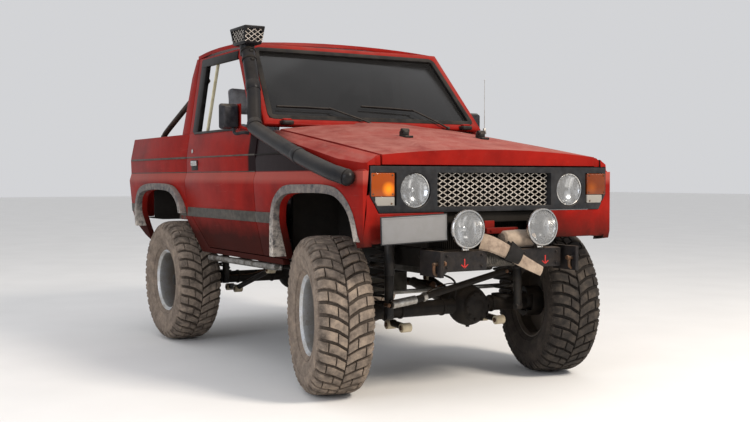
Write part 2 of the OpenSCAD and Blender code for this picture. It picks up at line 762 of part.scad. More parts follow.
module rim() {
    a = rim_w / 2 - 16;
    half = [[bead_r, a], [rim_r, a + 4], [rim_r, a + 14], [bead_r + 4, a + 8], [bead_r - barrel_t, a - 2]];
    difference() {
        union() {
            rotate_extrude($fn = 96) translate([0, kingpin_in])
                polygon(concat([for (p = reversed(half)) [p[0], -p[1]]], half));
            translate([0, 0, mount_face]) cylinder(h = disc_plate, r = bead_r - barrel_t + 2);
            translate([0, 0, hub_back]) cylinder(h = mount_face - hub_back + 1, r = hub_r);
            translate([0, 0, hub_back + 6]) cylinder(h = disc_t, r = disc_r);
            translate([0, 0, mount_face]) cylinder(h = hub_nose - mount_face, r = hub_nose_r);
        }
        translate([0, 0, hub_back - 1]) cylinder(h = mount_face + 33 - hub_back, r = spindle_r + spindle_fit);
        for (a = [0:30:359]) rotate([0, 0, a]) translate([160, 0, mount_face - 1]) cylinder(h = disc_plate + 2, r = 17);
    }
}

module tyre_at(i) {
    car(rubber) corner(wheel_places()[i]) tyre();
}

module rim_at(i) {
    car(rim_silver) corner(wheel_places()[i]) rim();
}

module tyre_front_right() { tyre_at(0); }
module tyre_front_left() { tyre_at(1); }
module tyre_rear_right() { tyre_at(2); }
module tyre_rear_left() { tyre_at(3); }
module rim_front_right() { rim_at(0); }
module rim_front_left() { rim_at(1); }
module rim_rear_right() { rim_at(2); }
module rim_rear_left() { rim_at(3); }

frame_rails();
crossmembers();
front_axle();
rear_axle();
springs_and_dampers();
suspension_links();
driveline();
engine();
fuel_tank();
exhaust();
floor_pan();
bulkhead();
side_panels();
front_wings();
front_panel();
grille_mesh();
valance();
front_lamps();
driving_lamps();
screen_frame();
screen_glass();
roof();
roll_bar();
front_bumper();
winch();
winch_strap();
snorkel();
flares();
step_bars();
seats();
dashboard();
rear_bumper();
hood();
door_right();
door_left();
tailgate();
steering_wheel();
knuckle_right();
knuckle_left();
tie_rod();
tyre_front_right();
tyre_front_left();
tyre_rear_right();
tyre_rear_left();
rim_front_right();
rim_front_left();
rim_rear_right();
rim_rear_left();
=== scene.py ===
# Short, lifted off-road 4x4 with a cut roof and an open load bed.
# The camera comes first: a standing onlooker's view of the right front corner, on a 49 mm lens.
import json
import math

import bmesh
import bpy
from mathutils import Matrix, Vector, noise


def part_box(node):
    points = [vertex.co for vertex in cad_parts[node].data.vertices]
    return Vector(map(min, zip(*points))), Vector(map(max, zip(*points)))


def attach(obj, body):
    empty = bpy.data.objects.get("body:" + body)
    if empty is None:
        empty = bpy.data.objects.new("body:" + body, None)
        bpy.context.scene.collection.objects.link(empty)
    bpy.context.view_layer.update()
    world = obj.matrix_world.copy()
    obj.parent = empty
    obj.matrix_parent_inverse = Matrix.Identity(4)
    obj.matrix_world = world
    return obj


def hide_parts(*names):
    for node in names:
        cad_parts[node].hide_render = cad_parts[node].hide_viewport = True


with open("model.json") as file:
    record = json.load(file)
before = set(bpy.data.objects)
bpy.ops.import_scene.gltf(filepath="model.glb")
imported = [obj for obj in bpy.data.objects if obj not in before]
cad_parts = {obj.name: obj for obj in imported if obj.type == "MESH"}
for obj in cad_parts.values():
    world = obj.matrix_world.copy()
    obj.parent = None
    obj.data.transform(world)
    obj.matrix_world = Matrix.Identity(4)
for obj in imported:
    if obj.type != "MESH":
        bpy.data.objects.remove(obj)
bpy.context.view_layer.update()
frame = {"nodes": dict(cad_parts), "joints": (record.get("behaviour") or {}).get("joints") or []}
scene = bpy.context.scene

camera_data = bpy.data.cameras.new("camera")
camera_data.lens = 49.35
camera_data.shift_x = 0.0027
camera = bpy.data.objects.new("camera", camera_data)
camera.location = (6.1705, -3.337, 1.166)
camera.rotation_euler = (math.radians(90 - 1.81), 0, math.radians(59.56))
scene.collection.objects.link(camera)
scene.camera = camera
scene.view_settings.view_transform = "Standard"


# Studio: a pale painted floor that runs on to the horizon, under a broad soft key light from the
# right front, a weaker fill from the left, and an even pale surround.
def linear(hex_colour):
    """An sRGB hex colour as linear RGBA."""
    parts = [int(hex_colour[i:i + 2], 16) / 255 for i in (1, 3, 5)]
    return tuple(c / 12.92 if c <= 0.04045 else ((c + 0.055) / 1.055) ** 2.4 for c in parts) + (1.0,)


def feed(tree, node, sockets):
    """Fills a node's inputs, by name or number, with values or with links from other sockets."""
    for key, value in sockets.items():
        if isinstance(value, bpy.types.NodeSocket):
            tree.links.new(value, node.inputs[key])
        else:
            node.inputs[key].default_value = value


def add(tree, kind, sockets=None, stops=(), **settings):
    """Adds a node with its settings and inputs, and for a ramp its stops, each a place with a hex colour or a grey."""
    made = tree.nodes.new("ShaderNode" + kind)
    for key, value in settings.items():
        setattr(made, key, value)
    feed(tree, made, sockets or {})
    for k, (place, value) in enumerate(stops):
        stop = made.color_ramp.elements[k] if k < 2 else made.color_ramp.elements.new(1.0)
        stop.position = place
        stop.color = linear(value) if isinstance(value, str) else (value, value, value, 1)
    return made


def new_material(name):
    material = bpy.data.materials.new(name)
    material.use_nodes = True
    tree = material.node_tree
    return material, tree, tree.nodes["Principled BSDF"]


def shape_object(name, bm, material=None):
    mesh = bpy.data.meshes.new(name)
    bm.to_mesh(mesh)
    bm.free()
    made = bpy.data.objects.new(name, mesh)
    scene.collection.objects.link(made)
    if material:
        mesh.materials.append(material)
    return made


floor_paint, tree, shader = new_material("matt_floor_paint")
mottle = add(tree, "TexNoise", {"Vector": add(tree, "TexCoord").outputs["Object"], "Scale": 1.5, "Detail": 4})
feed(tree, shader, {
    "Base Color": add(tree, "ValToRGB", {"Fac": mottle.outputs["Fac"]},
                      [(0.3, "#e9e8e6"), (0.7, "#eeedeb")]).outputs[0],
    "Roughness": 0.9})
bm = bmesh.new()
bmesh.ops.create_grid(bm, x_segments=2, y_segments=2, size=60)
floor = shape_object("floor", bm, floor_paint)

world = bpy.data.worlds.new("studio")
scene.world = world
world.use_nodes = True
world.node_tree.nodes["Background"].inputs["Color"].default_value = linear("#f4f5f8")
world.node_tree.nodes["Background"].inputs["Strength"].default_value = 0.72
for name, place, size, power, colour in [
        ("key", (8.0, 2.5, 6.5), 2.2, 820, "#fff4e6"), ("fill", (4.0, -8.5, 3.5), 4.0, 230, "#eef3ff"),
        ("top", (-1.0, -1.5, 8.0), 6.0, 60, "#ffffff")]:
    lamp_data = bpy.data.lights.new(name, "AREA")
    lamp_data.size = size
    lamp_data.energy = power
    lamp_data.color = linear(colour)[:3]
    lamp = bpy.data.objects.new(name, lamp_data)
    lamp.location = place
    lamp.rotation_euler = (Vector((0, 0, 0.9)) - lamp.location).to_track_quat("-Z", "Y").to_euler()
    scene.collection.objects.link(lamp)


# Frame: two pressed box rails kicked up over both axles, with welded cross tubes and spring towers.
# Rolled mild steel, folded and seam-welded, then brush-painted black. Dust lies on every upper face.
def weathered(name, base, worn, dust, patch=0.12, rough=(0.45, 0.8), metallic=0.0, on_top=0.5, all_over=0.07,
              grain=0.003, relief=0.0006):
    """Two tones in patches of `patch` metres, grain of `grain` metres, and dust that gathers on faces that look up."""
    material, tree, shader = new_material(name)
    coords = add(tree, "TexCoord")
    patches = add(tree, "TexNoise", {"Vector": coords.outputs["Object"], "Scale": 1 / patch, "Detail": 6,
                                     "Roughness": 0.65})
    drift = add(tree, "TexNoise", {"Vector": coords.outputs["Object"], "Scale": 0.37 / patch, "Detail": 8,
                                   "Roughness": 0.7})
    tone = add(tree, "Mix", {0: add(tree, "ValToRGB", {"Fac": patches.outputs["Fac"]},
                                    [(0.42, 0.0), (0.62, 1.0)]).outputs[0], 6: linear(base),
                             7: linear(worn)}, data_type="RGBA")
    facing = add(tree, "SeparateXYZ", {0: coords.outputs["Normal"]})
    upward = add(tree, "MapRange", {"Value": facing.outputs["Z"], "From Min": 0.25, "From Max": 0.95,
                                    "To Min": all_over,
                                    "To Max": on_top + all_over})
    fall = add(tree, "ValToRGB", {"Fac": drift.outputs["Fac"]}, [(0.38, 0.25), (0.6, 1.0)]).outputs[0]
    amount = add(tree, "Math", {0: upward.outputs[0], 1: fall}, operation="MULTIPLY").outputs[0]
    colour = add(tree, "Mix", {0: amount, 6: tone.outputs[2], 7: linear(dust)}, data_type="RGBA")
    feed(tree, shader, {"Base Color": colour.outputs[2]})
    dull = add(tree, "MapRange", {"Value": amount, "To Min": rough[0], "To Max": rough[1]})
    feed(tree, shader, {"Roughness": dull.outputs[0], "Metallic": metallic, "Specular IOR Level": 0.14})
    fine = add(tree, "TexNoise", {"Vector": coords.outputs["Object"], "Scale": 1 / grain, "Detail": 3})
    bump = add(tree, "Bump", {"Height": fine.outputs["Fac"], "Distance": relief, "Strength": 0.6})
    feed(tree, shader, {"Normal": bump.outputs[0]})
    return material


def merged(*nodes):
    """A working copy of CAD nodes, with their loose triangles joined and flat regions made whole."""
    bm = bmesh.new()
    for node in nodes:
        bm.from_mesh(frame["nodes"][node].data)
    bmesh.ops.remove_doubles(bm, verts=bm.verts, dist=1e-5)
    bmesh.ops.dissolve_limit(bm, angle_limit=math.radians(0.6), verts=bm.verts, edges=bm.edges)
    return bm


def soften(bm, width, segments=2, above=30):
    """Rounds every edge sharper than `above` degrees."""
    sharp = [e for e in bm.edges if len(e.link_faces) == 2 and e.calc_face_angle(0) > math.radians(above)]
    bmesh.ops.bevel(bm, geom=sharp, offset=width, affect="EDGES", segments=segments, profile=0.5, material=-1,
                    clamp_overlap=True)
    return bm


def cut(bm, place, way, clear=False, near=1e-5, sides=0):
    """Cuts a shape by a plane. If asked, what lies ahead of the plane goes, and the cut is closed."""
    bmesh.ops.bisect_plane(bm, geom=list(bm.verts) + list(bm.edges) + list(bm.faces), dist=near, plane_co=place,
                           plane_no=way, clear_outer=clear)
    if clear:
        bmesh.ops.holes_fill(bm, edges=[e for e in bm.edges if e.is_boundary], sides=sides)


def pull(bm, faces, way):
    """Extrudes faces along a vector."""
    grown = bmesh.ops.extrude_face_region(bm, geom=faces)["geom"]
    bmesh.ops.translate(bm, verts=[g for g in grown if isinstance(g, bmesh.types.BMVert)], vec=way)


def piece(name, bm, material, body="root", replaces=(), smooth=40):
    """Makes a finished piece of a mesh, with its body and the CAD nodes it stands for."""
    made = shape_object(name, bm, material)
    made.data.shade_smooth()
    made.data.set_sharp_from_angle(angle=math.radians(smooth))
    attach(made, body)
    if replaces:
        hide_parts(*replaces)
    return made


def lump(bm, low, high, width=0.0, segments=2, turn=None):
    """A block between any two opposite corners, with rounded edges, turned about its middle if asked."""
    low, high = [Vector(map(pick, low, high)) for pick in (min, max)]
    size, centre = high - low, (low + high) / 2
    place = Matrix.Translation(centre) @ (turn or Matrix.Identity(4)) @ Matrix.Diagonal((*size, 1))
    verts = bmesh.ops.create_cube(bm, size=1, matrix=place)["verts"]
    if width:
        edges = list({e for v in verts for e in v.link_edges})
        bmesh.ops.bevel(bm, geom=edges, offset=width, affect="EDGES", segments=segments, profile=0.5, material=-1,
                        clamp_overlap=True)
    return bm


def lump_at(bm, centre, half, width=0.0, segments=2, turn=None):
    """A block about its centre, from its half sizes."""
    return lump(bm, centre - Vector(half), centre + Vector(half), width, segments, turn)


def along(a, b):
    """The matrix that puts a shape's own Z along the line from a to b, at its middle."""
    a, b = Vector(a), Vector(b)
    return Matrix.Translation((a + b) / 2) @ (b - a).to_track_quat("Z", "Y").to_matrix().to_4x4()


def rod(bm, a, b, r, r_end=None, sides=20, width=0.0):
    """A round bar or cone from a to b, with its end edges rounded."""
    length = (Vector(b) - Vector(a)).length
    verts = bmesh.ops.create_cone(bm, cap_ends=True, segments=sides, radius1=r, radius2=r if r_end is None else r_end,
                                  depth=length, matrix=along(a, b))["verts"]
    if width:
        rims = [e for e in {e for v in verts for e in v.link_edges} if e.calc_face_angle(0) > math.radians(50)]
        bmesh.ops.bevel(bm, geom=rims, offset=width, affect="EDGES", segments=2, profile=0.5, material=-1,
                        clamp_overlap=True)
    return bm


def hexagon(bm, place, way, size=0.011, height=0.008):
    """A hexagon bolt head with its washer, standing on a face."""
    place, way = Vector(place), Vector(way).normalized()
    rod(bm, place, place + way * 0.002, size * 1.5, sides=16)
    rod(bm, place + way * 0.002, place + way * (0.002 + height), size, sides=6, width=0.0012)


def tube(bm, path, r, sides=16, closed=False):
    """A round tube through the points of a path: a ring of vertices at each, bridged to the next."""
    points, rings = [Vector(p) for p in path], []
    up = Vector((0, 0, 1)) if abs((points[1] - points[0]).normalized().z) < 0.9 else Vector((0, 1, 0))
    for i, point in enumerate(points):
        way = ((points[min(i + 1, len(points) - 1)] - point).normalized()
               + (point - points[max(i - 1, 0)]).normalized()).normalized()
        side = way.cross(up).normalized()
        up = side.cross(way).normalized()
        turn = Matrix((side, up, way)).transposed().to_4x4()
        ring = bmesh.ops.create_circle(bm, segments=sides, radius=r, matrix=Matrix.Translation(point) @ turn)["verts"]
        rings.append(list({e for v in ring for e in v.link_edges}))
    before = set(bm.faces)
    for first, second in zip(rings, rings[1:]):
        bmesh.ops.bridge_loops(bm, edges=first + second)
    for ring in (rings[0], rings[-1]):
        bmesh.ops.contextual_create(bm, geom=ring)
    bmesh.ops.recalc_face_normals(bm, faces=[f for f in bm.faces if f not in before])
    return bm


def smooth_path(points, steps=6):
    """A Catmull-Rom curve through a few points, for bent tube."""
    points = [Vector(p) for p in points]
    ends = [2 * points[0] - points[1]] + points + [2 * points[-1] - points[-2]]
    found = []
    for a, b, c, d in zip(ends, ends[1:], ends[2:], ends[3:]):
        for k in range(steps):
            t = k / steps
            found.append(0.5 * (2 * b + (c - a) * t + (2 * a - 5 * b + 4 * c - d) * t * t
                                + (3 * b - a - 3 * c + d) * t ** 3))
    return found + [points[-1]]


joints = {joint["name"]: joint for joint in frame["joints"]}
KINGPIN = Vector(joints["steering"]["pos_m"])
REAR_HUB = Vector(joints["spin_rear_right"]["pos_m"])
FRONT_X, REAR_X, HUB_Z = KINGPIN.x, REAR_HUB.x, KINGPIN.z
MID_X = (FRONT_X + REAR_X) / 2

chassis_enamel = weathered("brushed_black_chassis_enamel", "#11100f", "#1b1916", "#4f453b")
piece("frame_rail_pair", soften(merged("frame_rails"), 0.008, 3), chassis_enamel,
      replaces=["frame_rails"])
bm = soften(merged("crossmembers"), 0.004)
for x in (FRONT_X, REAR_X):
    for side in (-1, 1):
        for dx in (-0.05, 0.05):
            hexagon(bm, (x + dx, side * 0.40, 0.80), (0, 0, 1))
piece("cross_tubes_and_spring_towers", bm, chassis_enamel, replaces=["crossmembers"])


# Axles: cast differential housings with pressed tubes, ribbed covers and a bolted flange each.
# Iron and steel, sand-cast and machined at the flanges, left in greasy black with baked-on dust.
axle_iron = weathered("greasy_sand_cast_iron", "#141211", "#211d19", "#5a4f44", patch=0.06, rough=(0.5, 0.85),
                      on_top=0.7, grain=0.002, relief=0.0012)
rusty_steel = weathered("rust_streaked_mild_steel", "#4a3a2e", "#6b4a34", "#7d6f60", patch=0.03, metallic=0.4,
                        rough=(0.45, 0.8))
for node, way in (("front_axle", -1), ("rear_axle", 1)):
    x = FRONT_X if way < 0 else REAR_X
    bm = soften(merged(node), 0.004)
    centre = Vector((x, 0.165, HUB_Z))
    # Bolted cover away from the propshaft, and the pinion flange towards it
    rod(bm, centre - Vector((way * 0.088, 0, 0)), centre - Vector((way * 0.110, 0, 0)), 0.088, 0.080, 32, 0.004)
    for k in range(10):
        a = math.tau * k / 10
        hexagon(bm, centre + Vector((-way * 0.108, 0.076 * math.cos(a), 0.076 * math.sin(a))), (-way, 0, 0), 0.007,
                0.006)
    rod(bm, centre + Vector((way * 0.205, 0, 0)), centre + Vector((way * 0.222, 0, 0)), 0.056, None, 24, 0.003)
    # Welded tube collars, drain plug and breather
    for y in (-0.30, -0.02, 0.33):
        rod(bm, (x, y - 0.008, HUB_Z), (x, y + 0.008, HUB_Z), 0.050, None, 28, 0.004)
    hexagon(bm, (x, 0.165, HUB_Z - 0.116), (0, 0, -1), 0.012, 0.010)
    tube(bm, smooth_path([(x + 0.02, 0.06, HUB_Z + 0.04), (x + 0.05, 0.05, HUB_Z + 0.09),
                          (x + 0.06, 0.02, HUB_Z + 0.16),
                          (x + 0.05, -0.10, HUB_Z + 0.21)]), 0.006, 8)
    piece(node + "_casting", bm, axle_iron, replaces=[node])
# Brake lines clipped along the tubes
bm = bmesh.new()
for x, s in ((FRONT_X, -1), (REAR_X, 1)):
    tube(bm, smooth_path([(x + s * 0.045, -0.5, HUB_Z + 0.02), (x + s * 0.048, -0.2, HUB_Z + 0.022),
                          (x + s * 0.10, 0.0, HUB_Z + 0.10), (x + s * 0.12, 0.2, HUB_Z + 0.11),
                          (x + s * 0.048, 0.36, HUB_Z + 0.02), (x + s * 0.045, 0.5, HUB_Z + 0.02)]), 0.0035, 8)
piece("brake_lines", bm, rusty_steel)


# Suspension: open coil springs on welded seats, with twin-tube dampers beside them.
# Springs are wound from 15 mm bar and powder-coated; dampers are drawn tube with a plated rod.
coil_coat = weathered("powder_coated_spring_steel", "#1f2022", "#33302d", "#6f6254", patch=0.05, rough=(0.35, 0.75))
bm = bmesh.new()
seat, tower = 0.482, 0.784
turns, bar = 5.5, 0.0078
for x in (FRONT_X, REAR_X):
    for y in (-0.425, 0.425):
        ring = bmesh.ops.create_circle(bm, segments=10, radius=bar, matrix=Matrix.Translation(
            (x + 0.054, y, seat + bar)) @ Matrix.Rotation(math.pi / 2, 4, "X"))["verts"]
        loop = list({e for v in ring for e in v.link_edges})
        steps = int(turns * 20)
        wound = bmesh.ops.spin(bm, geom=ring + loop, cent=(x, y, 0), axis=(0, 0, 1), angle=math.tau * turns,
                               dvec=(0, 0, (tower - seat - 2 * bar) / steps), steps=steps, use_merge=False)
        for end in (loop, [e for e in wound["geom_last"] if isinstance(e, bmesh.types.BMEdge)]):
            bmesh.ops.contextual_create(bm, geom=end)
bmesh.ops.recalc_face_normals(bm, faces=bm.faces)
piece("coil_springs", bm, coil_coat, replaces=["springs_and_dampers"])
bm = bmesh.new()
for x in (FRONT_X, REAR_X):
    for s in (-1, 1):
        low, mid_point = Vector((x + 0.118, s * 0.443, 0.422)), Vector((x + 0.114, s * 0.439, 0.660))
        high = Vector((x + 0.110, s * 0.435, 0.838))
        rod(bm, low, mid_point, 0.025, None, 24, 0.004)
        rod(bm, mid_point, high, 0.009, None, 16)
        rod(bm, mid_point - (high - mid_point) * 0.12, high - (high - mid_point) * 0.12, 0.0285, None, 24, 0.004)
        rod(bm, low + Vector((0, -0.022, -0.004)), low + Vector((0, 0.022, -0.004)), 0.022, None, 20, 0.003)
piece("dampers", bm, coil_coat, replaces=["springs_and_dampers"])


# Links: trailing arms of round bar, and a track bar across each axle with screwed adjuster sleeves.
# Cold-drawn steel tube with welded eyes. The front track bar's end sleeve is bright zinc, and its bushes are cream.
zinc_plate = weathered("scuffed_zinc_plated_steel", "#b9b7b2", "#8d877e", "#93877a", patch=0.04, metallic=0.7,
                       rough=(0.3, 0.6), on_top=0.3)
cream_bush = weathered("cast_cream_polyurethane", "#c9bda4", "#b3a68c", "#8f8171", patch=0.05, rough=(0.45, 0.7))
piece("suspension_arms", merged("suspension_links"), axle_iron, replaces=["suspension_links"])
bm, bushes, bolts = bmesh.new(), bmesh.new(), bmesh.new()
bar_x = FRONT_X + 0.178
low_end, bend = Vector((bar_x, -0.470, HUB_Z + 0.058)), Vector((bar_x, -0.300, HUB_Z + 0.078))
high_end = Vector((bar_x, 0.300, HUB_Z + 0.206))
rod(bm, low_end.lerp(bend, 0.05), low_end.lerp(bend, 0.95), 0.0235, None, 24, 0.003)
rod(bm, bend.lerp(high_end, 0.06), bend.lerp(high_end, 0.10), 0.026, None, 6, 0.002)
piece("track_bar_sleeve", bm, zinc_plate)
eyes = [(low_end - Vector((0, 0.02, 0.0)), 0), (high_end, 0)]
for s in (-1, 1):
    for x, z in ((FRONT_X - 0.64, 0.530), (REAR_X + 0.64, 0.530)):
        eyes.append((Vector((x, s * 0.320, z)), 1))
    for x in (FRONT_X + 0.096, FRONT_X - 0.06, REAR_X - 0.096, REAR_X + 0.06):
        eyes.append((Vector((x, s * 0.322, HUB_Z - 0.086)), 1))
for place, across in eyes:
    # The track bar's eyes are shorter, to clear the tyre at full lock
    way, half, r = (Vector((0, 1, 0)), 0.030, 0.026) if across else (Vector((1, 0, 0)), 0.018, 0.021)
    if across:
        rod(bushes, place - way * half, place + way * half, r, None, 20, 0.003)
    rod(bolts, place - way * (half + 0.005), place + way * (half + 0.005), r * 0.55, None, 6, 0.001)
piece("suspension_bushes", bushes, cream_bush)
piece("suspension_bolts", bolts, rusty_steel)


# Driveline, tank and exhaust: gearbox and transfer case, two propshafts, pressed tank and rolled muffler.
# The gearbox is cast aluminium under oil and dust; the tank is pressed sheet; the muffler is aluminised steel.
gearbox_alloy = weathered("oily_cast_aluminium", "#55524c", "#3a3732", "#6f6355", patch=0.08, metallic=0.5,
                          rough=(0.45, 0.8), relief=0.001)
bm = soften(merged("driveline"), 0.012, 3)
for x in (MID_X - 0.30, MID_X - 0.05, MID_X + 0.20, MID_X + 0.45):
    lump(bm, (x, -0.156, 0.444), (x + 0.018, 0.136, 0.682), 0.004)
piece("gearbox_and_propshafts", bm, gearbox_alloy, replaces=["driveline"])
bm = soften(merged("fuel_tank"), 0.020, 3)
for x in (MID_X - 0.90, MID_X - 0.60):
    lump(bm, (x, -0.274, 0.586), (x + 0.035, -0.096, 0.694), 0.003)
piece("pressed_tank", bm, chassis_enamel, replaces=["fuel_tank"])
bm = soften(merged("exhaust"), 0.008, 3, 50)
piece("exhaust_and_muffler", bm, rusty_steel, replaces=["exhaust"])
bm = soften(merged("engine"), 0.02, 3)
piece("engine_block", bm, gearbox_alloy, replaces=["engine"])


# Tyres: 34 inch mud tyres with a two-row directional tread of long and short blocks.
# Moulded carbon-black rubber, dried mud in the grooves and on the sidewalls, painted shade deep in the grooves, and
# lug tops scuffed paler.
def wheel_place(corner):
    """The matrix from a wheel's own axes, its outer face towards -Y, to one corner of the vehicle."""
    joint = joints["spin_" + corner]
    centre = Vector(joint["pos_m"])
    turn = Matrix.Rotation(-math.atan2(joint["axis"][0], joint["axis"][1]), 4, "Z")
    mirror = Matrix.Scale(-1 if centre.y > 0 else 1, 4, (0, 1, 0))
    return Matrix.Translation(centre) @ turn @ mirror


def wheel_part(name, bm, material, corner, replaces=(), smooth=30):
    """Puts a part made on a wheel's own axes in its corner, and finishes it."""
    bmesh.ops.transform(bm, matrix=wheel_place(corner), verts=bm.verts)
    bmesh.ops.recalc_face_normals(bm, faces=bm.faces)
    piece(name + corner, bm, material, "wheel_" + corner, replaces, smooth)


def lathe(bm, profile, steps, closed=False):
    """Turns a profile of (radius, place along Y) about the Y axis. The profile may close on itself."""
    verts = [bm.verts.new((r, y, 0)) for r, y in profile]
    pairs = list(zip(verts, verts[1:])) + ([(verts[-1], verts[0])] if closed else [])
    bmesh.ops.spin(bm, geom=verts + [bm.edges.new(pair) for pair in pairs], cent=(0, 0, 0), axis=(0, 1, 0),
                   angle=math.tau, steps=steps, use_merge=True)


CORNERS = "front_right", "front_left", "rear_right", "rear_left"


def moulded_rubber(name, lug_tones, caked_tones):
    """Rubber whose raised blocks are scuffed to one set of tones, and whose hollows are caked to another and darkened
    with painted shade.
    """
    material, tree, shader = new_material(name)
    coords = add(tree, "TexCoord").outputs["Object"]
    around = add(tree, "TexNoise", {"Vector": coords, "Scale": 14, "Detail": 8, "Roughness": 0.7})
    cake = add(tree, "TexNoise", {"Vector": coords, "Scale": 60, "Detail": 6, "Roughness": 0.65})
    height_on_lug = add(tree, "Attribute", attribute_name="lug")
    tops = add(tree, "ValToRGB", {"Fac": around.outputs["Fac"]}, zip((0.36, 0.50, 0.66), lug_tones)).outputs[0]
    caked = add(tree, "ValToRGB", {"Fac": cake.outputs["Fac"]}, zip((0.30, 0.55, 0.75), caked_tones)).outputs[0]
    blend = add(tree, "Mix", {0: height_on_lug.outputs["Fac"], 6: caked, 7: tops}, data_type="RGBA")
    # Painted shade: the lower a vertex stands on the tread, the darker its colour, down to about a quarter in the
    # grooves
    painted_groove_shade = add(tree, "MapRange", {"Value": height_on_lug.outputs["Fac"], "From Max": 0.5, "To Min": 0.26})
    shade = add(tree, "Mix", {0: 1.0, 6: blend.outputs[2], 7: painted_groove_shade.outputs[0]}, data_type="RGBA",
                blend_type="MULTIPLY")
    feed(tree, shader, {"Base Color": shade.outputs[2], "Roughness": 0.86, "Specular IOR Level": 0.3})
    bump = add(tree, "Bump", {"Height": cake.outputs["Fac"], "Distance": 0.002, "Strength": 0.7})
    feed(tree, shader, {"Normal": bump.outputs[0]})
    return material


dusty_rubber = moulded_rubber("dusty_moulded_tyre_rubber", ("#50473f", "#74685d", "#978777"),
                              ("#655748", "#86776a", "#a08f7f"))
# Painted shade: a darker copy of the same rubber for the front-left tyre, which stands in shadow
painted_shade_tyre_rubber = moulded_rubber("painted_shade_moulded_tyre_rubber", ("#1f1c1a", "#312c28", "#4d453d"),
                              ("#28221e", "#3a322c", "#574c42"))

TYRE_R, PITCHES = 0.430, 20
CARCASS = [(0.000, 0.4140), (0.060, 0.4135), (0.095, 0.4110), (0.120, 0.4040), (0.138, 0.3900), (0.148, 0.3680),
           (0.1515, 0.3350), (0.1490, 0.3000), (0.1400, 0.2620), (0.1240, 0.2320), (0.1120, 0.2210), (0.1010, 0.2060)]


def carcass_radius(across):
    """Radius of the bare tyre under the lugs, at a distance from its middle."""
    across = min(abs(across), 0.1475)
    for (a, r), (b, q) in zip(CARCASS, CARCASS[1:]):
        if a <= across <= b:
            return r + (q - r) * (across - a) / (b - a)


def sweep_back(across):
    """How far round the tread a bar has swept at a distance from the middle: steep first, then flatter."""
    knots = [(0.0, 0.0), (0.055, 0.036), (0.100, 0.052), (0.155, 0.060)]
    for (a, s), (b, t) in zip(knots, knots[1:]):
        if across <= b:
            return s + (t - s) * (across - a) / (b - a)
    return knots[-1][1]


def lugs():
    """One pitch of tread laid flat (across, round, up), with its blocks' edges eased."""
    bm = bmesh.new()
    pitch, half_bar = math.tau * TYRE_R / PITCHES, 0.0238
    spans = [(0.004, 0.050), (0.0565, 0.1475)], [(0.004, 0.096), (0.1025, 0.1475)]
    for side in (1, -1):
        for bar in (0, 1):
            start = (bar + (0.5 if side < 0 else 0.0)) * pitch / 2
            for a, b in spans[bar]:
                cuts = [a] + [k for k in (0.055, 0.085, 0.110, 0.130) if a + 0.006 < k < b - 0.004] + [b]
                outline = [(c, sweep_back(c) - half_bar) for c in cuts]
                outline += [(c, sweep_back(c) + half_bar) for c in reversed(cuts)]
                verts = [bm.verts.new((side * c, start + s, 0)) for c, s in outline]
                n = len(cuts)
                for i in range(n - 1):
                    bm.faces.new([verts[j] for j in (i, i + 1, 2 * n - 2 - i, 2 * n - 1 - i)][::side])
            # Short bars that run down the shoulder, and the pair of dimples between them
            reach = 0.030 if bar else 0.018
            for k in (-0.012, 0.012):
                low = start + sweep_back(0.15) + k
                lump(bm, (side * 0.1420, low - 0.0075, -0.020 - reach), (side * 0.1488, low + 0.0075, -0.006))
    tops = [f for f in bm.faces if abs(f.normal.z) > 0.9 and all(abs(v.co.z) < 1e-6 for v in f.verts)]
    raised = bmesh.ops.extrude_face_region(bm, geom=tops)["geom"]
    up = [g for g in raised if isinstance(g, bmesh.types.BMVert)]
    bmesh.ops.translate(bm, verts=up, vec=(0, 0, 1))
    crest = [e for e in bm.edges if all(abs(v.co.z - 1) < 1e-6 for v in e.verts) and len(e.link_faces) == 2
             and e.calc_face_angle(0) > 0.5]
    for v in up:
        v.co.z = 0.0158
    bmesh.ops.bevel(bm, geom=crest, offset=0.0018, affect="EDGES", segments=1, profile=0.5, material=-1)
    return bm


def wrap(bm, spin):
    """Bends the flat tread round the carcass, and marks how high each vertex stands."""
    mark = bm.verts.layers.float["lug"]
    for v in bm.verts:
        across, way, up = v.co
        angle = way / TYRE_R + spin
        if up < -0.004:
            r, v[mark] = 0.392 + up, 0.7
        else:
            r = min(carcass_radius(across) + up - 0.0015, TYRE_R)
            v[mark] = 1.0 if up > 0.008 else 0.25
        v.co = (r * math.cos(angle), across, r * math.sin(angle))


flat_tread = bpy.data.meshes.new("flat_tread")
bm = lugs()
bm.to_mesh(flat_tread)
bm.free()
for corner in CORNERS:
    bm = bmesh.new()
    mark = bm.verts.layers.float.new("lug")
    for k in range(PITCHES):
        pitch_bm = bmesh.new()
        pitch_bm.verts.layers.float.new("lug")
        pitch_bm.from_mesh(flat_tread)
        wrap(pitch_bm, math.tau * k / PITCHES)
        copied = bpy.data.meshes.new("pitch")
        pitch_bm.to_mesh(copied)
        pitch_bm.free()
        bm.from_mesh(copied)
        bpy.data.meshes.remove(copied)
    outside = [(r, -y) for y, r in reversed(CARCASS)] + [(r, y) for y, r in CARCASS[1:]]
    inside = [(r, y) for r, y in [(0.206, 0.078), (0.280, 0.130), (0.360, 0.132), (0.396, 0.090)]]
    inside += [(r, -y) for r, y in reversed(inside)]
    known = set(bm.verts)
    lathe(bm, outside + inside, 120, closed=True)
    for v in bm.verts:
        if v not in known:
            v[mark] = 0.55 if abs(v.co.y) > 0.140 or math.hypot(v.co.x, v.co.z) < 0.36 else 0.0
    # Raised rings on the sidewall
    for side in (-1, 1):
        for r, y in ((0.245, 0.1335), (0.322, 0.1508)):
            known = set(bm.verts)
            lathe(bm, [(r - 0.0035, side * (y - 0.003)), (r - 0.0015, side * (y + 0.0012)),
                       (r + 0.0015, side * (y + 0.0012)), (r + 0.0035, side * (y - 0.003))], 96)
            for v in bm.verts:
                if v not in known:
                    v[mark] = 0.8
    wheel_part("tread_and_carcass_", bm, painted_shade_tyre_rubber if corner == "front_left" else dusty_rubber, corner,
               ["tyre_" + corner])
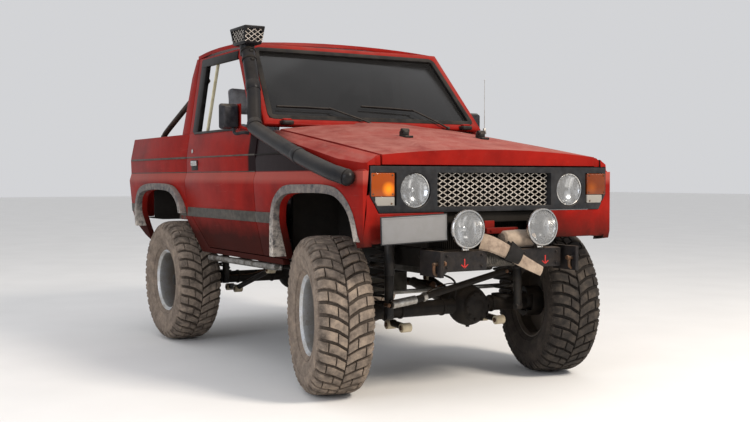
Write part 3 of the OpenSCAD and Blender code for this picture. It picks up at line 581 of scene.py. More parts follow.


# Rims: 16 inch deep-dished steel wheels with a heavy rolled lip, six nuts and free-wheeling hubs.
# Spun and pressed steel under silver paint, with rust specks at the lip, and dust and painted shade in the dish.
rim_paint, tree, shader = new_material("silver_paint_on_spun_steel")
coords = add(tree, "TexCoord").outputs["Object"]
broad = add(tree, "TexNoise", {"Vector": coords, "Scale": 9, "Detail": 6, "Roughness": 0.7})
speck = add(tree, "TexNoise", {"Vector": coords, "Scale": 150, "Detail": 4, "Roughness": 0.7})
silver = add(tree, "ValToRGB", {"Fac": broad.outputs["Fac"]},
             [(0.35, "#c9cdd2"), (0.55, "#b7b6b2"), (0.75, "#8f8478")]).outputs[0]
rust = add(tree, "ValToRGB", {"Fac": speck.outputs["Fac"]}, [(0.60, 0.0), (0.68, 1.0)]).outputs[0]
rusted = add(tree, "Mix", {0: rust, 6: silver, 7: linear("#7a4a2c")}, data_type="RGBA")
# Brake dust and mud lie in the dish, darkened further by painted shade, and the lip is knocked clean
dish_dust_and_shade = add(tree, "Attribute", attribute_name="dish")
mixed = add(tree, "Mix", {0: dish_dust_and_shade.outputs["Fac"], 6: rusted.outputs[2], 7: linear("#5f564d")},
            data_type="RGBA")
feed(tree, shader, {"Base Color": mixed.outputs[2], "Metallic": 0.55, "Roughness": 0.38})
bump = add(tree, "Bump", {"Height": speck.outputs["Fac"], "Distance": 0.0006, "Strength": 0.4})
feed(tree, shader, {"Normal": bump.outputs[0]})
dished = [(0.1990, 0.096), (0.2030, 0.100), (0.2190, 0.1045), (0.2205, 0.1100), (0.2180, 0.1145), (0.2130, 0.1140),
          (0.2080, 0.1080), (0.1990, 0.100), (0.1975, 0.070), (0.1960, 0.020), (0.1900, -0.012), (0.1780, -0.021),
          (0.1450, -0.017), (0.1200, -0.010), (0.1000, -0.010), (0.0860, -0.018), (0.0560, -0.020), (0.0560, -0.028),
          (0.0900, -0.028), (0.1300, -0.024), (0.1750, -0.030), (0.1960, -0.036), (0.1970, -0.100), (0.2080, -0.108),
          (0.2130, -0.1140), (0.2180, -0.1145), (0.2205, -0.1100), (0.2190, -0.1045), (0.2030, -0.100),
          (0.2020, 0.0)]
for corner in CORNERS:
    bm = bmesh.new()
    dish = bm.verts.layers.float.new("dish")
    lathe(bm, [(r, -y) for r, y in dished], 96, closed=True)
    for v in bm.verts:
        # Dust and painted shade: the dish darkens the deeper it lies behind the lip
        v[dish] = 0.0 if v.co.y < -0.098 else min(1.0, 0.35 + 0.65 * max(0.0, (v.co.y + 0.098) / 0.10))
    wheel_part("dished_rim_", bm, rim_paint, corner, ["rim_" + corner], 35)
    # Nuts on their studs, the hub and its dial, and the valve
    bm = bmesh.new()
    for k in range(6):
        a = math.tau * k / 6
        at_nut = Vector((0.0695 * math.cos(a), 0, 0.0695 * math.sin(a)))
        rod(bm, at_nut + Vector((0, 0.018, 0)), at_nut + Vector((0, -0.002, 0)), 0.012, 0.0105, 6, 0.001)
        rod(bm, at_nut, at_nut + Vector((0, -0.010, 0)), 0.006, None, 10)
    valve = Vector((0.184, 0.010, 0))
    tube(bm, smooth_path([valve, valve + Vector((-0.004, -0.02, 0)), valve + Vector((-0.012, -0.045, 0))]), 0.004, 8)
    wheel_part("wheel_nuts_", bm, rusty_steel, corner)
    bm = bmesh.new()
    lathe(bm, [(0.0, -0.066), (0.018, -0.066), (0.020, -0.063), (0.030, -0.063), (0.037, -0.060), (0.040, -0.054),
               (0.040, -0.020), (0.050, -0.016), (0.053, -0.010), (0.053, 0.024)], 48)
    for k in range(6):
        a = math.tau * (k + 0.5) / 6
        at_screw = Vector((0.0455 * math.cos(a), -0.0165, 0.0455 * math.sin(a)))
        rod(bm, at_screw, at_screw + Vector((0, -0.005, 0)), 0.0045, None, 6, 0.0006)
    lump(bm, (-0.014, -0.069, -0.003), (0.014, -0.064, 0.003), 0.0012)
    wheel_part("hub_", bm, axle_iron, corner, smooth=35)


# Steering knuckles and tie rod: forged arms on ball swivels, with a ball joint at each end of a bright rod.
# Forged steel, machined at the seals and zinc-plated along the rod, under dust and old grease.
for side, sign in (("right", -1), ("left", 1)):
    bm = soften(merged("knuckle_" + side), 0.003, 2, 40)
    for k in range(8):
        a = math.tau * (k + 0.5) / 8
        turn = Matrix.Rotation(-math.radians(14), 4, "Z")
        at_bolt = Vector((0.082 * math.cos(a), sign * 0.068, 0.082 * math.sin(a)))
        place = Vector((FRONT_X, sign * abs(KINGPIN.y), HUB_Z)) + turn @ at_bolt
        hexagon(bm, place, turn @ Vector((0, -1, 0)), 0.006, 0.004)
    piece("swivel_housing_" + side, bm, axle_iron, "knuckle_" + side, ["knuckle_" + side])
piece("tie_rod_bar", soften(merged("tie_rod"), 0.0015, 2, 50), zinc_plate, "tie_rod", ["tie_rod"])


# Body shell: floor, firewall, wings, bed sides and front panel, pressed from sheet steel and spot-welded.
# Stoved red enamel, chalked by sun on upper faces, rubbed and dusty at the sides, mud-stained along the bottom, with
# painted shade on the right wing behind the air pipe.
def red_enamel(name, chalk):
    """`chalk` is how far dust and sun have dulled the faces that look up."""
    material, tree, shader = new_material(name)
    coords = add(tree, "TexCoord")
    place, facing = coords.outputs["Object"], add(tree, "SeparateXYZ", {0: coords.outputs["Normal"]})
    broad = add(tree, "TexNoise", {"Vector": place, "Scale": 1.7, "Detail": 5, "Roughness": 0.6})
    cloud = add(tree, "TexNoise", {"Vector": place, "Scale": 6.0, "Detail": 10, "Roughness": 0.72, "Distortion": 0.4})
    red = add(tree, "ValToRGB", {"Fac": broad.outputs["Fac"]},
              [(0.36, "#6c0e0a"), (0.52, "#8a1710"), (0.68, "#74110c")]).outputs[0]
    # Dust film, thick on top and thin on the sides
    upward = add(tree, "MapRange", {"Value": facing.outputs["Z"], "From Min": 0.55, "From Max": 0.97, "To Min": 0.03,
                                    "To Max": chalk})
    film = add(tree, "ValToRGB", {"Fac": cloud.outputs["Fac"]}, [(0.34, 0.35), (0.62, 1.0)]).outputs[0]
    amount = add(tree, "Math", {0: upward.outputs[0], 1: film}, operation="MULTIPLY")
    dusty = add(tree, "Mix", {0: amount.outputs[0], 6: red, 7: linear("#a0675e")}, data_type="RGBA")
    # Scratches along the body, one or two millimetres wide, and stone chips
    lengthwise = add(tree, "Mapping", {"Vector": place, "Scale": (3, 90, 210), "Rotation": (0, 0.10, 0)})
    scratches = add(tree, "TexNoise", {"Vector": lengthwise.outputs[0], "Scale": 1.0, "Detail": 3, "Roughness": 0.8})
    scored = add(tree, "Math", {0: add(tree, "ValToRGB", {"Fac": scratches.outputs["Fac"]},
                                       [(0.66, 0.0), (0.72, 1.0)]).outputs[0], 1: 0.22},
                 operation="MULTIPLY")
    scuffed = add(tree, "Mix", {0: scored.outputs[0], 6: dusty.outputs[2], 7: linear("#c08a80")}, data_type="RGBA")
    chips = add(tree, "TexVoronoi", {"Vector": place, "Scale": 55, "Randomness": 1.0})
    chipped = add(tree, "ValToRGB", {"Fac": chips.outputs["Distance"]}, [(0.03, 1.0), (0.06, 0.0)]).outputs[0]
    rare = add(tree, "ValToRGB", {"Fac": cloud.outputs["Fac"]}, [(0.58, 0.0), (0.66, 1.0)]).outputs[0]
    bare = add(tree, "Math", {0: chipped, 1: rare}, operation="MULTIPLY")
    marked = add(tree, "Mix", {0: bare.outputs[0], 6: scuffed.outputs[2], 7: linear("#4a342c")}, data_type="RGBA")
    # Pale dust along the crease, and a brown-black patch of painted shade and dark reflection on the right wing behind
    # the air pipe
    height = add(tree, "SeparateXYZ", {0: place})
    rise = add(tree, "MapRange", {"Value": height.outputs["Z"], "From Min": 1.130, "From Max": 1.165, "To Max": 0.42})
    end = add(tree, "MapRange", {"Value": height.outputs["Z"], "From Min": 1.203, "From Max": 1.206, "To Min": 1.0,
                                 "To Max": 0.0})
    crease = add(tree, "Math", {0: rise.outputs[0], 1: end.outputs[0]}, operation="MULTIPLY")
    creased = add(tree, "Mix", {0: crease.outputs[0], 6: marked.outputs[2], 7: linear("#b0665a")}, data_type="RGBA")
    fall = add(tree, "Math", {0: height.outputs["X"], 1: 0.263, 2: height.outputs["Z"]}, operation="MULTIPLY_ADD")
    edges = [add(tree, "MapRange", {"Value": value, "From Min": low, "From Max": high}) for value, low, high in (
        (fall.outputs[0], 1.640, 1.600), (height.outputs["Z"], 1.203, 1.211), (height.outputs["X"], 0.395, 0.420),
        (height.outputs["Y"], -0.700, -0.720))]
    patch = edges[0].outputs[0]
    for edge in edges[1:]:
        patch = add(tree, "Math", {0: patch, 1: edge.outputs[0]}, operation="MULTIPLY").outputs[0]
    # Painted shade: brown-black mixed in behind the air pipe, above the crease, on the right side only
    with_painted_shade = add(tree, "Mix", {0: patch, 6: creased.outputs[2], 7: linear("#1d1213")}, data_type="RGBA")
    # Dried mud from the sill up, with a ragged edge
    ragged = add(tree, "Math", {0: cloud.outputs["Fac"], 1: 0.22}, operation="MULTIPLY")
    level = add(tree, "Math", {0: height.outputs["Z"], 1: ragged.outputs[0]}, operation="SUBTRACT")
    mud = add(tree, "MapRange", {"Value": level.outputs[0], "From Min": 0.88, "From Max": 0.70, "To Max": 0.92})
    finished = add(tree, "Mix", {0: mud.outputs[0], 6: with_painted_shade.outputs[2], 7: linear("#2b1713")}, data_type="RGBA")
    feed(tree, shader, {"Base Color": finished.outputs[2]})
    film_dull = add(tree, "Math", {0: amount.outputs[0], 1: mud.outputs[0]}, operation="MAXIMUM")
    dull = add(tree, "MapRange", {"Value": film_dull.outputs[0], "To Min": 0.30, "To Max": 0.85})
    feed(tree, shader, {
        "Roughness": dull.outputs[0], "Specular IOR Level": 0.02, "Coat Weight": 0.05, "Coat Roughness": 0.25})
    ripple = add(tree, "TexNoise", {"Vector": place, "Scale": 9, "Detail": 2})
    peel = add(tree, "Bump", {"Height": ripple.outputs["Fac"], "Distance": 0.004, "Strength": 0.35})
    feed(tree, shader, {"Normal": peel.outputs[0]})
    return material


def line_inside(made, material, test):
    """Gives the faces that pass a test a second material, such as the sealer inside a panel."""
    made.data.materials.append(material)
    for polygon in made.data.polygons:
        if test(polygon.center, polygon.normal):
            polygon.material_index = 1


side_red = red_enamel("sun_faded_red_enamel", 0.62)
roof_red = red_enamel("chalked_red_enamel_on_the_roof", 0.45)
sealer = weathered("black_underbody_sealer", "#0f0e0d", "#191715", "#4f463c", patch=0.15, rough=(0.7, 0.9),
                   on_top=0.25,
                   all_over=0.12, grain=0.006, relief=0.002)
bed_paint = weathered("scraped_bed_paint", "#7d2a22", "#5c5650", "#8b7a6c", patch=0.10, rough=(0.45, 0.85),
                      on_top=0.75,
                      grain=0.004)

SIDE = [(0.665, 0.768), (0.905, 0.824), (0.970, 0.830), (1.150, 0.844), (1.204, 0.828), (1.308, 0.830),
        (1.475, 0.805),
        (1.996, 0.726)]


def skin_y(z):
    """Half the body's width at a height."""
    z = min(max(z, SIDE[0][0]), SIDE[-1][0])
    for (a, y), (b, w) in zip(SIDE, SIDE[1:]):
        if z <= b:
            return y + (w - y) * (z - a) / (b - a)


def lay_on_side(bm, verts, side):
    """Moves vertices whose Y is a height above the skin to one side of the body."""
    for v in verts:
        v.co = (v.co.x + MID_X, side * (skin_y(v.co.z) + v.co.y), v.co.z)


def strip(bm, side, x0, x1, z0, z1, proud=0.005, depth=0.004, width=0.002, slant=0.0):
    """A moulding along the side of the body, its ends slanted if asked."""
    known = set(bm.verts)
    lump(bm, (x0, -depth, z0), (x1, proud, z1), width)
    new = [v for v in bm.verts if v not in known]
    for v in new:
        v.co.x += slant * (v.co.z - z0)
    lay_on_side(bm, new, side)


def window_ring(bm, side, outline, inset, proud, depth):
    """A rubber frame round an opening, from its outline in X and Z."""
    known = set(bm.verts)
    face = bm.faces.new([bm.verts.new((x, proud, z)) for x, z in outline])
    bmesh.ops.inset_region(bm, faces=[face], thickness=inset, use_even_offset=True)
    bm.faces.remove(face)
    ring = [f for f in bm.faces if all(v not in known for v in f.verts)]
    pull(bm, ring, (0, -depth - proud, 0))
    new = [v for v in bm.verts if v not in known]
    lay_on_side(bm, new, side)
    bmesh.ops.recalc_face_normals(bm, faces=[f for f in bm.faces if f.verts[0] in set(new)])


bm = soften(merged("floor_pan"), 0.004)
lump(bm, (MID_X - 1.98, -0.55, 0.858), (MID_X - 1.97, 0.55, 0.864), 0.002)
for k in range(13):
    y = -0.50 + k / 12
    lump(bm, (MID_X - 1.90, y - 0.018, 0.856), (MID_X - 0.66, y + 0.018, 0.868), 0.004)
floor_piece = piece("floor_and_bed", bm, sealer, replaces=["floor_pan"])
line_inside(floor_piece, bed_paint, lambda c,
            n: c.z > 0.853 and c.x < MID_X - 0.55 and (n.z > 0.1 or abs(c.y) < 0.57))
bm = soften(merged("bulkhead"), 0.003, 2, 50)
firewall = piece("firewall_and_cowl", bm, sealer, replaces=["bulkhead"])
line_inside(firewall, side_red, lambda c, n: c.z > 1.40 and n.z > -0.2)

bm = soften(merged("side_panels"), 0.007, 3)
bed_sides = piece("bed_sides", bm, side_red, replaces=["side_panels"])
line_inside(bed_sides, sealer, lambda c, n: c.z < 1.10 and c.y * n.y < 0 and abs(n.y) > 0.5)
bm = merged("front_wings")
for y in (0.725, 0.760):
    for side in (-1, 1):
        cut(bm, (0, side * y, 0), (0, 1, 0))
for v in bm.verts:
    # The top falls away outwards beside the hood, more so at the nose
    if v.co.z > 1.262 - 0.16 * max(0.0, v.co.x - 1.60) and abs(v.co.y) > 0.724:
        v.co.z -= (abs(v.co.y) - 0.724) * (0.30 + 0.35 * min(1.0, max(0.0, (v.co.x - 1.2) / 0.5)))
soften(bm, 0.014, 4)
for side in (-1, 1):
    strip(bm, side, 0.374, 0.800, 1.305, 1.313, 0.0020, 0.004, 0.001)
wings = piece("front_wing_panels", bm, side_red, replaces=["front_wings"])
line_inside(wings, sealer, lambda c, n: c.y * n.y < 0 and abs(n.y) > 0.5)
bm = soften(merged("valance"), 0.006, 3)
for side in (-1, 1):
    # Rounded corner between the valance and the wing
    corner = lump(bmesh.new(), (1.700, side * 0.70, 0.838), (1.7825, side * 0.810,
                  1.098), 0.020, 4)
    cut(corner, (0, side * 0.778, 1.079), (0, side * -0.085, 0.052), True)
    lump(corner, (1.690, side * 0.778, 1.060), (1.776, side * 0.806, 1.212), 0.010, 3)
    cornered = bpy.data.meshes.new("corner")
    corner.to_mesh(cornered)
    corner.free()
    bm.from_mesh(cornered)
for y in (-0.335, 0.335):
    cut(bm, (0, y, 0), (0, 1, 0))
valance = piece("valance_panels", bm, side_red, replaces=["valance"])
line_inside(valance, sealer, lambda c, n: abs(c.y) < 0.335)


# Doors: two pressed skins hemmed round a frame, with an open window, a flush handle and a key lock.
# Same enamel. The window keeps its black rubber seals and the cream flocked glass channel, with no glass fitted.
seal_rubber = weathered("aged_black_door_rubber", "#0d0d0e", "#18181a", "#5a5248", patch=0.05, rough=(0.4, 0.75),
                        on_top=0.3, all_over=0.1)
trim_plastic = weathered("scratched_black_moulding", "#2b2a28", "#45423d", "#7b7268", patch=0.03, rough=(0.45, 0.8),
                         on_top=0.8, all_over=0.25, grain=0.002)
cream_flock = weathered("yellowed_flock_channel", "#cfc6a6", "#b5aa88", "#857a66", patch=0.04, rough=(0.7, 0.9))
chrome, tree, shader = new_material("pitted_chrome_plate")
coords = add(tree, "TexCoord").outputs["Object"]
pitting = add(tree, "TexNoise", {"Vector": coords, "Scale": 90, "Detail": 5, "Roughness": 0.7})
feed(tree, shader, {
    "Base Color": add(tree, "ValToRGB", {"Fac": pitting.outputs["Fac"]},
                      [(0.4, "#d4d6d8"), (0.66, "#a59e94")]).outputs[0],
    "Metallic": 1.0})
dull = add(tree, "MapRange", {"Value": pitting.outputs["Fac"], "From Min": 0.4, "From Max": 0.7, "To Min": 0.12,
                              "To Max": 0.4})
feed(tree, shader, {"Roughness": dull.outputs[0]})
mirror_paint = weathered("scraped_black_mirror_shell", "#191b22", "#2c2d33", "#7a7060", patch=0.03, rough=(0.3, 0.7),
                         on_top=0.35)
WINDOW = [(-0.677, 1.479), (0.272, 1.479), (-0.094, 1.938), (-0.677, 1.938)]
for name, side in (("right", -1), ("left", 1)):
    body = "door_" + name
    bm = merged(body)
    cut(bm, (0, side * 0.8505, 0), (0, side, 0), True)
    soften(bm, 0.005, 3)
    door = piece("door_skin_" + name, bm, side_red, body, [body])
    line_inside(door, seal_rubber, lambda c, n: c.z > 1.46 and c.x < MID_X + 0.20 and c.z < 1.95
                and (abs(n.x) > 0.5 or abs(n.z) > 0.7 or c.y * n.y < 0) and -0.75 < c.x - MID_X)
    bm = bmesh.new()
    window_ring(bm, side, WINDOW, 0.022, 0.004, 0.030)
    # Broad seal up the rear of the window, a black head strip that is painted shade along the door's top frame, and
    # the belt weather strip
    strip(bm, side, -0.735, -0.640, 1.482, 1.968, 0.004, 0.02, 0.003)
    # Painted shade: black strip along the door head, where the top frame lies in shadow
    strip(bm, side, -0.735, -0.105, 1.930, 1.985, 0.006, 0.02, 0.004)
    strip(bm, side, -0.700, 0.285, 1.468, 1.484, 0.007, 0.012, 0.003)
    piece("window_seals_" + name, bm, seal_rubber, body)
    bm = bmesh.new()
    lump(bm, (-0.515, -0.028, 1.470), (-0.500, -0.008, 1.936), 0.003)
    for v in bm.verts:
        v.co.x += (v.co.z - 1.470) * 0.05
    lay_on_side(bm, bm.verts, side)
    piece("glass_channel_" + name, bm, cream_flock, body)
    # Lower trim band, belt line and crease line
    bm = bmesh.new()
    strip(bm, side, -0.790 + 0.004, 0.366, 0.906, 0.969, 0.006, 0.004, 0.003, 0.35)
    strip(bm, side, -0.791, 0.366, 1.305, 1.314, 0.0035, 0.004, 0.0015)
    strip(bm, side, -0.791, 0.366, 1.206, 1.211, 0.0020, 0.004, 0.0008)
    piece("door_mouldings_" + name, bm, trim_plastic, body)
    # Flush handle in its dark pocket, and the lock barrel
    bm = bmesh.new()
    strip(bm, side, -0.700, -0.580, 1.222, 1.290, 0.0015, 0.003, 0.001)
    piece("handle_pocket_" + name, bm, seal_rubber, body)
    bm = bmesh.new()
    strip(bm, side, -0.692, -0.588, 1.252, 1.286, 0.012, 0.0, 0.004)
    lock = Vector((MID_X - 0.690, side * (skin_y(1.352) - 0.004), 1.352))
    rod(bm, lock, lock + Vector((0, side * 0.010, 0)), 0.014, None, 24, 0.002)
    lump(bm, lock + Vector((-0.0015, 0, -0.006)), lock + Vector((0.0015, side * 0.0115, 0.006)))
    piece("handle_and_lock_" + name, bm, chrome, body)
    # Mirror shell on a bent stalk
    bm = bmesh.new()
    shell = Vector((MID_X + 0.170, side * 0.910, 1.545))
    lump_at(bm, shell, (0.030, 0.062, 0.078), 0.017, 4)
    bmesh.ops.scale(bm, verts=[v for v in bm.verts if v.co.x > shell.x + 0.012], vec=(1, 0.82, 0.88),
                    space=Matrix.Translation(-shell))
    foot = Vector((MID_X + 0.235, side * 0.800, 1.440))
    tube(bm, smooth_path([foot, foot + Vector((-0.008, side * 0.040, 0.006)),
                          shell + Vector((0.012, -side * 0.035, -0.105)),
                          shell + Vector((0.010, -side * 0.020, -0.070))], 5), 0.010, 12)
    lump(bm, foot - Vector((0.035, 0.008, 0.018)), foot + Vector((0.035, 0.014, 0.022)), 0.006, 3)
    piece("mirror_shell_" + name, bm, mirror_paint, body)
    bm = bmesh.new()
    lump(bm, shell + Vector((-0.0335, -0.052, -0.066)), shell + Vector((-0.0295, 0.052, 0.066)), 0.0015)
    piece("mirror_glass_" + name, bm, chrome, body)

# Trim band and black belt lines where they carry on along the bed and the wings
bm = bmesh.new()
for side in (-1, 1):
    strip(bm, side, -0.905, -0.800, 0.906, 0.969, 0.006, 0.004, 0.003, -0.30)
    strip(bm, side, 0.376, 0.640, 0.906, 0.969, 0.006, 0.004, 0.003)
    strip(bm, side, -2.040, -1.845, 0.906, 0.969, 0.006, 0.004, 0.003)
    strip(bm, side, -2.046, -0.801, 1.303, 1.316, 0.0035, 0.004, 0.0015)
    strip(bm, side, -2.046, -0.801, 1.205, 1.211, 0.0020, 0.004, 0.0008)
piece("body_trim_bands", bm, trim_plastic)


# Hood, roof and windscreen surround: single pressings with turned edges, the roof cut short behind the doors.
# Red enamel, dulled to dusty pink on the hood. The glass is dark laminated safety glass in a black rubber surround.
FRONT_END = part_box("hood")[1].x - 0.012
hood_red = red_enamel("dust_dulled_hood_enamel", 0.98)
bm = merged("hood")
for inner in (0.0, 0.020):
    for side in (-1, 1):
        # Two lines that widen towards the nose, with a step pressed between them
        cut(bm, (MID_X + 1.0, side * (0.304 - inner), 0), (-0.195 * side, 1, 0))
for v in bm.verts:
    inside = 0.304 + 0.195 * (v.co.x - MID_X - 1.0) - abs(v.co.y)
    if inside > 0.015 and v.co.z > 1.29 and v.normal.z > -0.5:
        v.co.z += 0.009 * min(1.0, max(0.0, (FRONT_END - v.co.x) / 0.06))
soften(bm, 0.007, 3, 35)
piece("hood_pressing", bm, hood_red, "hood", ["hood"], 30)
piece("roof_panel_and_hoop", soften(merged("roof"), 0.008, 3, 40), roof_red, replaces=["roof"],
      smooth=30)
piece("windscreen_surround", soften(merged("screen_frame"), 0.008, 3), side_red,
      replaces=["screen_frame"])

laminated, tree, shader = new_material("dark_laminated_glass")
coords = add(tree, "TexCoord").outputs["Object"]
wiped = add(tree, "TexNoise", {"Vector": coords, "Scale": 2.2, "Detail": 6, "Roughness": 0.6})
feed(tree, shader, {
    "Base Color": add(tree, "ValToRGB", {"Fac": wiped.outputs["Fac"]},
                      [(0.35, "#1c1c1c"), (0.7, "#232222")]).outputs[0]})
film = add(tree, "MapRange", {"Value": wiped.outputs["Fac"], "From Min": 0.4, "From Max": 0.7, "To Min": 0.10,
                              "To Max": 0.28})
feed(tree, shader, {"Roughness": film.outputs[0], "Alpha": 0.93, "Specular IOR Level": 0.35})
piece("windscreen_glass", soften(merged("screen_glass"), 0.002), laminated, replaces=["screen_glass"])

# Rubber surround, laid in the leaning plane of the glass
RAKE = math.radians(40)
SCREEN_FOOT = Vector((MID_X + 0.430, 0, 1.493))
SCREEN_LEAN = Matrix.Translation(SCREEN_FOOT) @ Matrix.Rotation(-RAKE, 4, "Y")
bm = bmesh.new()
slope = (2.030 - 1.493) / math.cos(RAKE)
low_half, high_half, bar = 0.797, 0.722, 0.052
face = bm.faces.new([bm.verts.new((0.004, y, z)) for y, z in (
    (-low_half + bar - 0.012, bar - 0.012), (low_half - bar + 0.012, bar - 0.012),
    (high_half - bar + 0.012, slope - bar + 0.012), (-high_half + bar - 0.012, slope - bar + 0.012))])
bmesh.ops.bevel(bm, geom=face.verts[:], offset=0.045, affect="VERTICES", segments=6, profile=0.5, material=-1)
face = bm.faces[:][0]
bmesh.ops.inset_region(bm, faces=[face], thickness=0.034, use_even_offset=True, use_boundary=True)
bmesh.ops.delete(bm, geom=[face], context="FACES_ONLY")
pull(bm, bm.faces[:], (-0.022, 0, 0))
bmesh.ops.recalc_face_normals(bm, faces=bm.faces)
soften(bm, 0.003, 2, 60)
bmesh.ops.transform(bm, matrix=SCREEN_LEAN, verts=bm.verts)
piece("windscreen_rubber", bm, seal_rubber)

# Tailgate: a pressed skin with a raised panel, a lift handle and two hinge pins
bm = soften(merged("tailgate"), 0.006, 3)
tail_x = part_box("tailgate")[0].x
lump(bm, (tail_x - 0.006, -0.54, 0.98), (tail_x + 0.01, 0.54, 1.34), 0.010, 3)
lump(bm, (tail_x - 0.016, -0.07, 1.375), (tail_x + 0.004, 0.07, 1.405), 0.006, 3)
for y in (-0.56, 0.56):
    rod(bm, (tail_x - 0.004, y - 0.04, 0.874), (tail_x - 0.004, y + 0.04, 0.874), 0.006, None, 14, 0.001)
piece("tailgate_pressing", bm, side_red, "tailgate", ["tailgate"])


# Grille panel: one ABS moulding round the headlamps and indicators, with a screen of expanded steel in the middle.
# Moulded black plastic, greyed and dusty; the screen is slit and stretched sheet, its old paint worn to beige.
abs_panel = weathered("greyed_moulded_abs", "#15171b", "#202327", "#6f6862", patch=0.04, rough=(0.38, 0.75),
                      on_top=0.7,
                      all_over=0.10)
FACE_X, FACE_HALF, FACE_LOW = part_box("front_panel")[1].x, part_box("front_panel")[1].y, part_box("front_panel")[0].z
LAMP_Y, LAMP_Z = 0.511, 1.106
bm = merged("front_panel")
for side in (-1, 1):
    cut(bm, (0, side * FACE_HALF, FACE_LOW + 0.085), (0, side * 0.085, -0.052), True)
soften(bm, 0.004, 3)
for side in (-1, 1):
    # Raised frame round each lamp
    ring = bmesh.ops.create_grid(bm, x_segments=1, y_segments=1, size=0.5, matrix=Matrix.Translation(
        (FACE_X + 0.004, side * LAMP_Y, LAMP_Z + 0.004)) @ Matrix.Rotation(math.pi / 2, 4, "Y")
        @ Matrix.Diagonal((0.206, 0.236, 1, 1)))["verts"]
    outer = list({f for v in ring for f in v.link_faces})
    hole = bmesh.ops.inset_region(bm, faces=outer, thickness=0.006, use_even_offset=True)
    bmesh.ops.delete(bm, geom=outer, context="FACES_ONLY")
    pull(bm, hole["faces"], (-0.006, 0, 0))
bmesh.ops.recalc_face_normals(bm, faces=bm.faces)
piece("lamp_and_grille_panel", bm, abs_panel, replaces=["front_panel"])

expanded = weathered("worn_expanded_steel", "#cac3ba", "#a49c92", "#a8998a", patch=0.03, metallic=0.25,
                     rough=(0.4, 0.75),
                     on_top=0.5)
mesh_low, mesh_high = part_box("grille_mesh")
mesh_x = (mesh_low.x + mesh_high.x) / 2
cell, row, strand = 0.058, 0.030, 0.0040
lean = math.atan2(row, cell)
bm = bmesh.new()
middle = (mesh_low.z + mesh_high.z) / 2
for way in (-1, 1):
    for k in range(-18, 19):
        centre = Vector((mesh_x + way * 0.0008, 0, middle + k * row))
        turn = Matrix.Rotation(way * lean, 4, "X")
        lump_at(bm, centre, (0.0012, 0.62, strand / 2), 0, 2, turn)
for corner, out in ((mesh_low, -1), (mesh_high, 1)):
    for way in (Vector((0, out, 0)), Vector((0, 0, out))):
        cut(bm, corner, way, True, 1e-6, 4)
# Flat knuckles where the strands meet
for i in range(-6, 7):
    for j in range(-5, 6):
        for dy, dz in ((0, 0), (cell / 2, row / 2)):
            y, z = i * cell + dy, middle + (j * row + dz)
            if abs(y) < mesh_high.y - 0.01 and mesh_low.z + 0.006 < z < mesh_high.z - 0.006:
                lump(bm, (mesh_x - 0.002, y - 0.010, z - 0.0042), (mesh_x + 0.002, y + 0.010, z + 0.0042), 0.0015, 1)
piece("expanded_steel_screen", bm, expanded, replaces=["grille_mesh"])

# Radiator core behind the screen, and the red bracket under the panel
bm = bmesh.new()
lump(bm, (1.632, -0.38, 0.78), (1.650, 0.38, 1.22), 0.004)
for z in (0.765, 1.205):
    lump(bm, (1.615, -0.39, z - 0.02), (1.667, 0.39, z + 0.02), 0.012, 3)
for k in range(60):
    lump(bm, (1.649, -0.37 + k * 0.0125, 0.79), (1.656, -0.368 + k * 0.0125, 1.19))
piece("radiator_core", bm, chassis_enamel)
bm = bmesh.new()
lump(bm, (FACE_X - 0.034, -0.060, 0.872), (FACE_X - 0.004, 0.152, 0.904), 0.004)
lump(bm, (FACE_X - 0.034, -0.060, 0.885), (FACE_X - 0.020, 0.005, 0.942), 0.004)
for y in (-0.03, 0.11):
    hexagon(bm, (FACE_X - 0.004, y, 0.888), (1, 0, 0), 0.006, 0.005)
piece("lamp_bar_bracket", bm, side_red)


# Lamps: sealed-beam headlamps, amber indicators with a clear side lamp below, and two chromed driving lamps.
# Pressed glass lenses with moulded flutes over vacuum-coated reflectors; indicators are moulded acrylic.
def lamp_lens(name, pitch, ribs):
    """Clear pressed glass, fluted every `pitch` metres along one direction."""
    material, tree, shader = new_material(name)
    coords = add(tree, "TexCoord").outputs["Object"]
    flutes = add(tree, "TexWave", {"Vector": coords, "Scale": 0.314 / pitch}, wave_type="BANDS", bands_direction=ribs)
    bump = add(tree, "Bump", {"Height": flutes.outputs["Fac"], "Distance": 0.0015, "Strength": 0.55})
    feed(tree, shader, {
        "Normal": bump.outputs[0], "Base Color": linear("#c9cbcd"), "Roughness": 0.06, "IOR": 1.5, "Alpha": 0.16})
    return material


fluted = lamp_lens("fluted_lamp_glass", 0.011, "Y")
reflector, tree, shader = new_material("vacuum_coated_reflector")
coords = add(tree, "TexCoord").outputs["Object"]
facets = add(tree, "TexVoronoi", {"Vector": coords, "Scale": 55})
# Painted reflection: dark and bright upright streaks in the base colour stand in for what the fluted lens shows
painted_reflection_streaks = add(tree, "TexNoise", {"Vector": add(tree, "Mapping", {"Vector": coords, "Scale": (1, 38, 5)}).outputs[0],
                                 "Scale": 1.0, "Detail": 2})
feed(tree, shader, {
    "Base Color": add(tree, "ValToRGB", {"Fac": painted_reflection_streaks.outputs["Fac"]},
                      [(0.40, "#26282a"), (0.60, "#c0c3c6")]).outputs[0],
    "Metallic": 1.0, "Roughness": 0.16})
bump = add(tree, "Bump", {"Height": facets.outputs["Distance"], "Distance": 0.002, "Strength": 0.16})
feed(tree, shader, {"Normal": bump.outputs[0]})


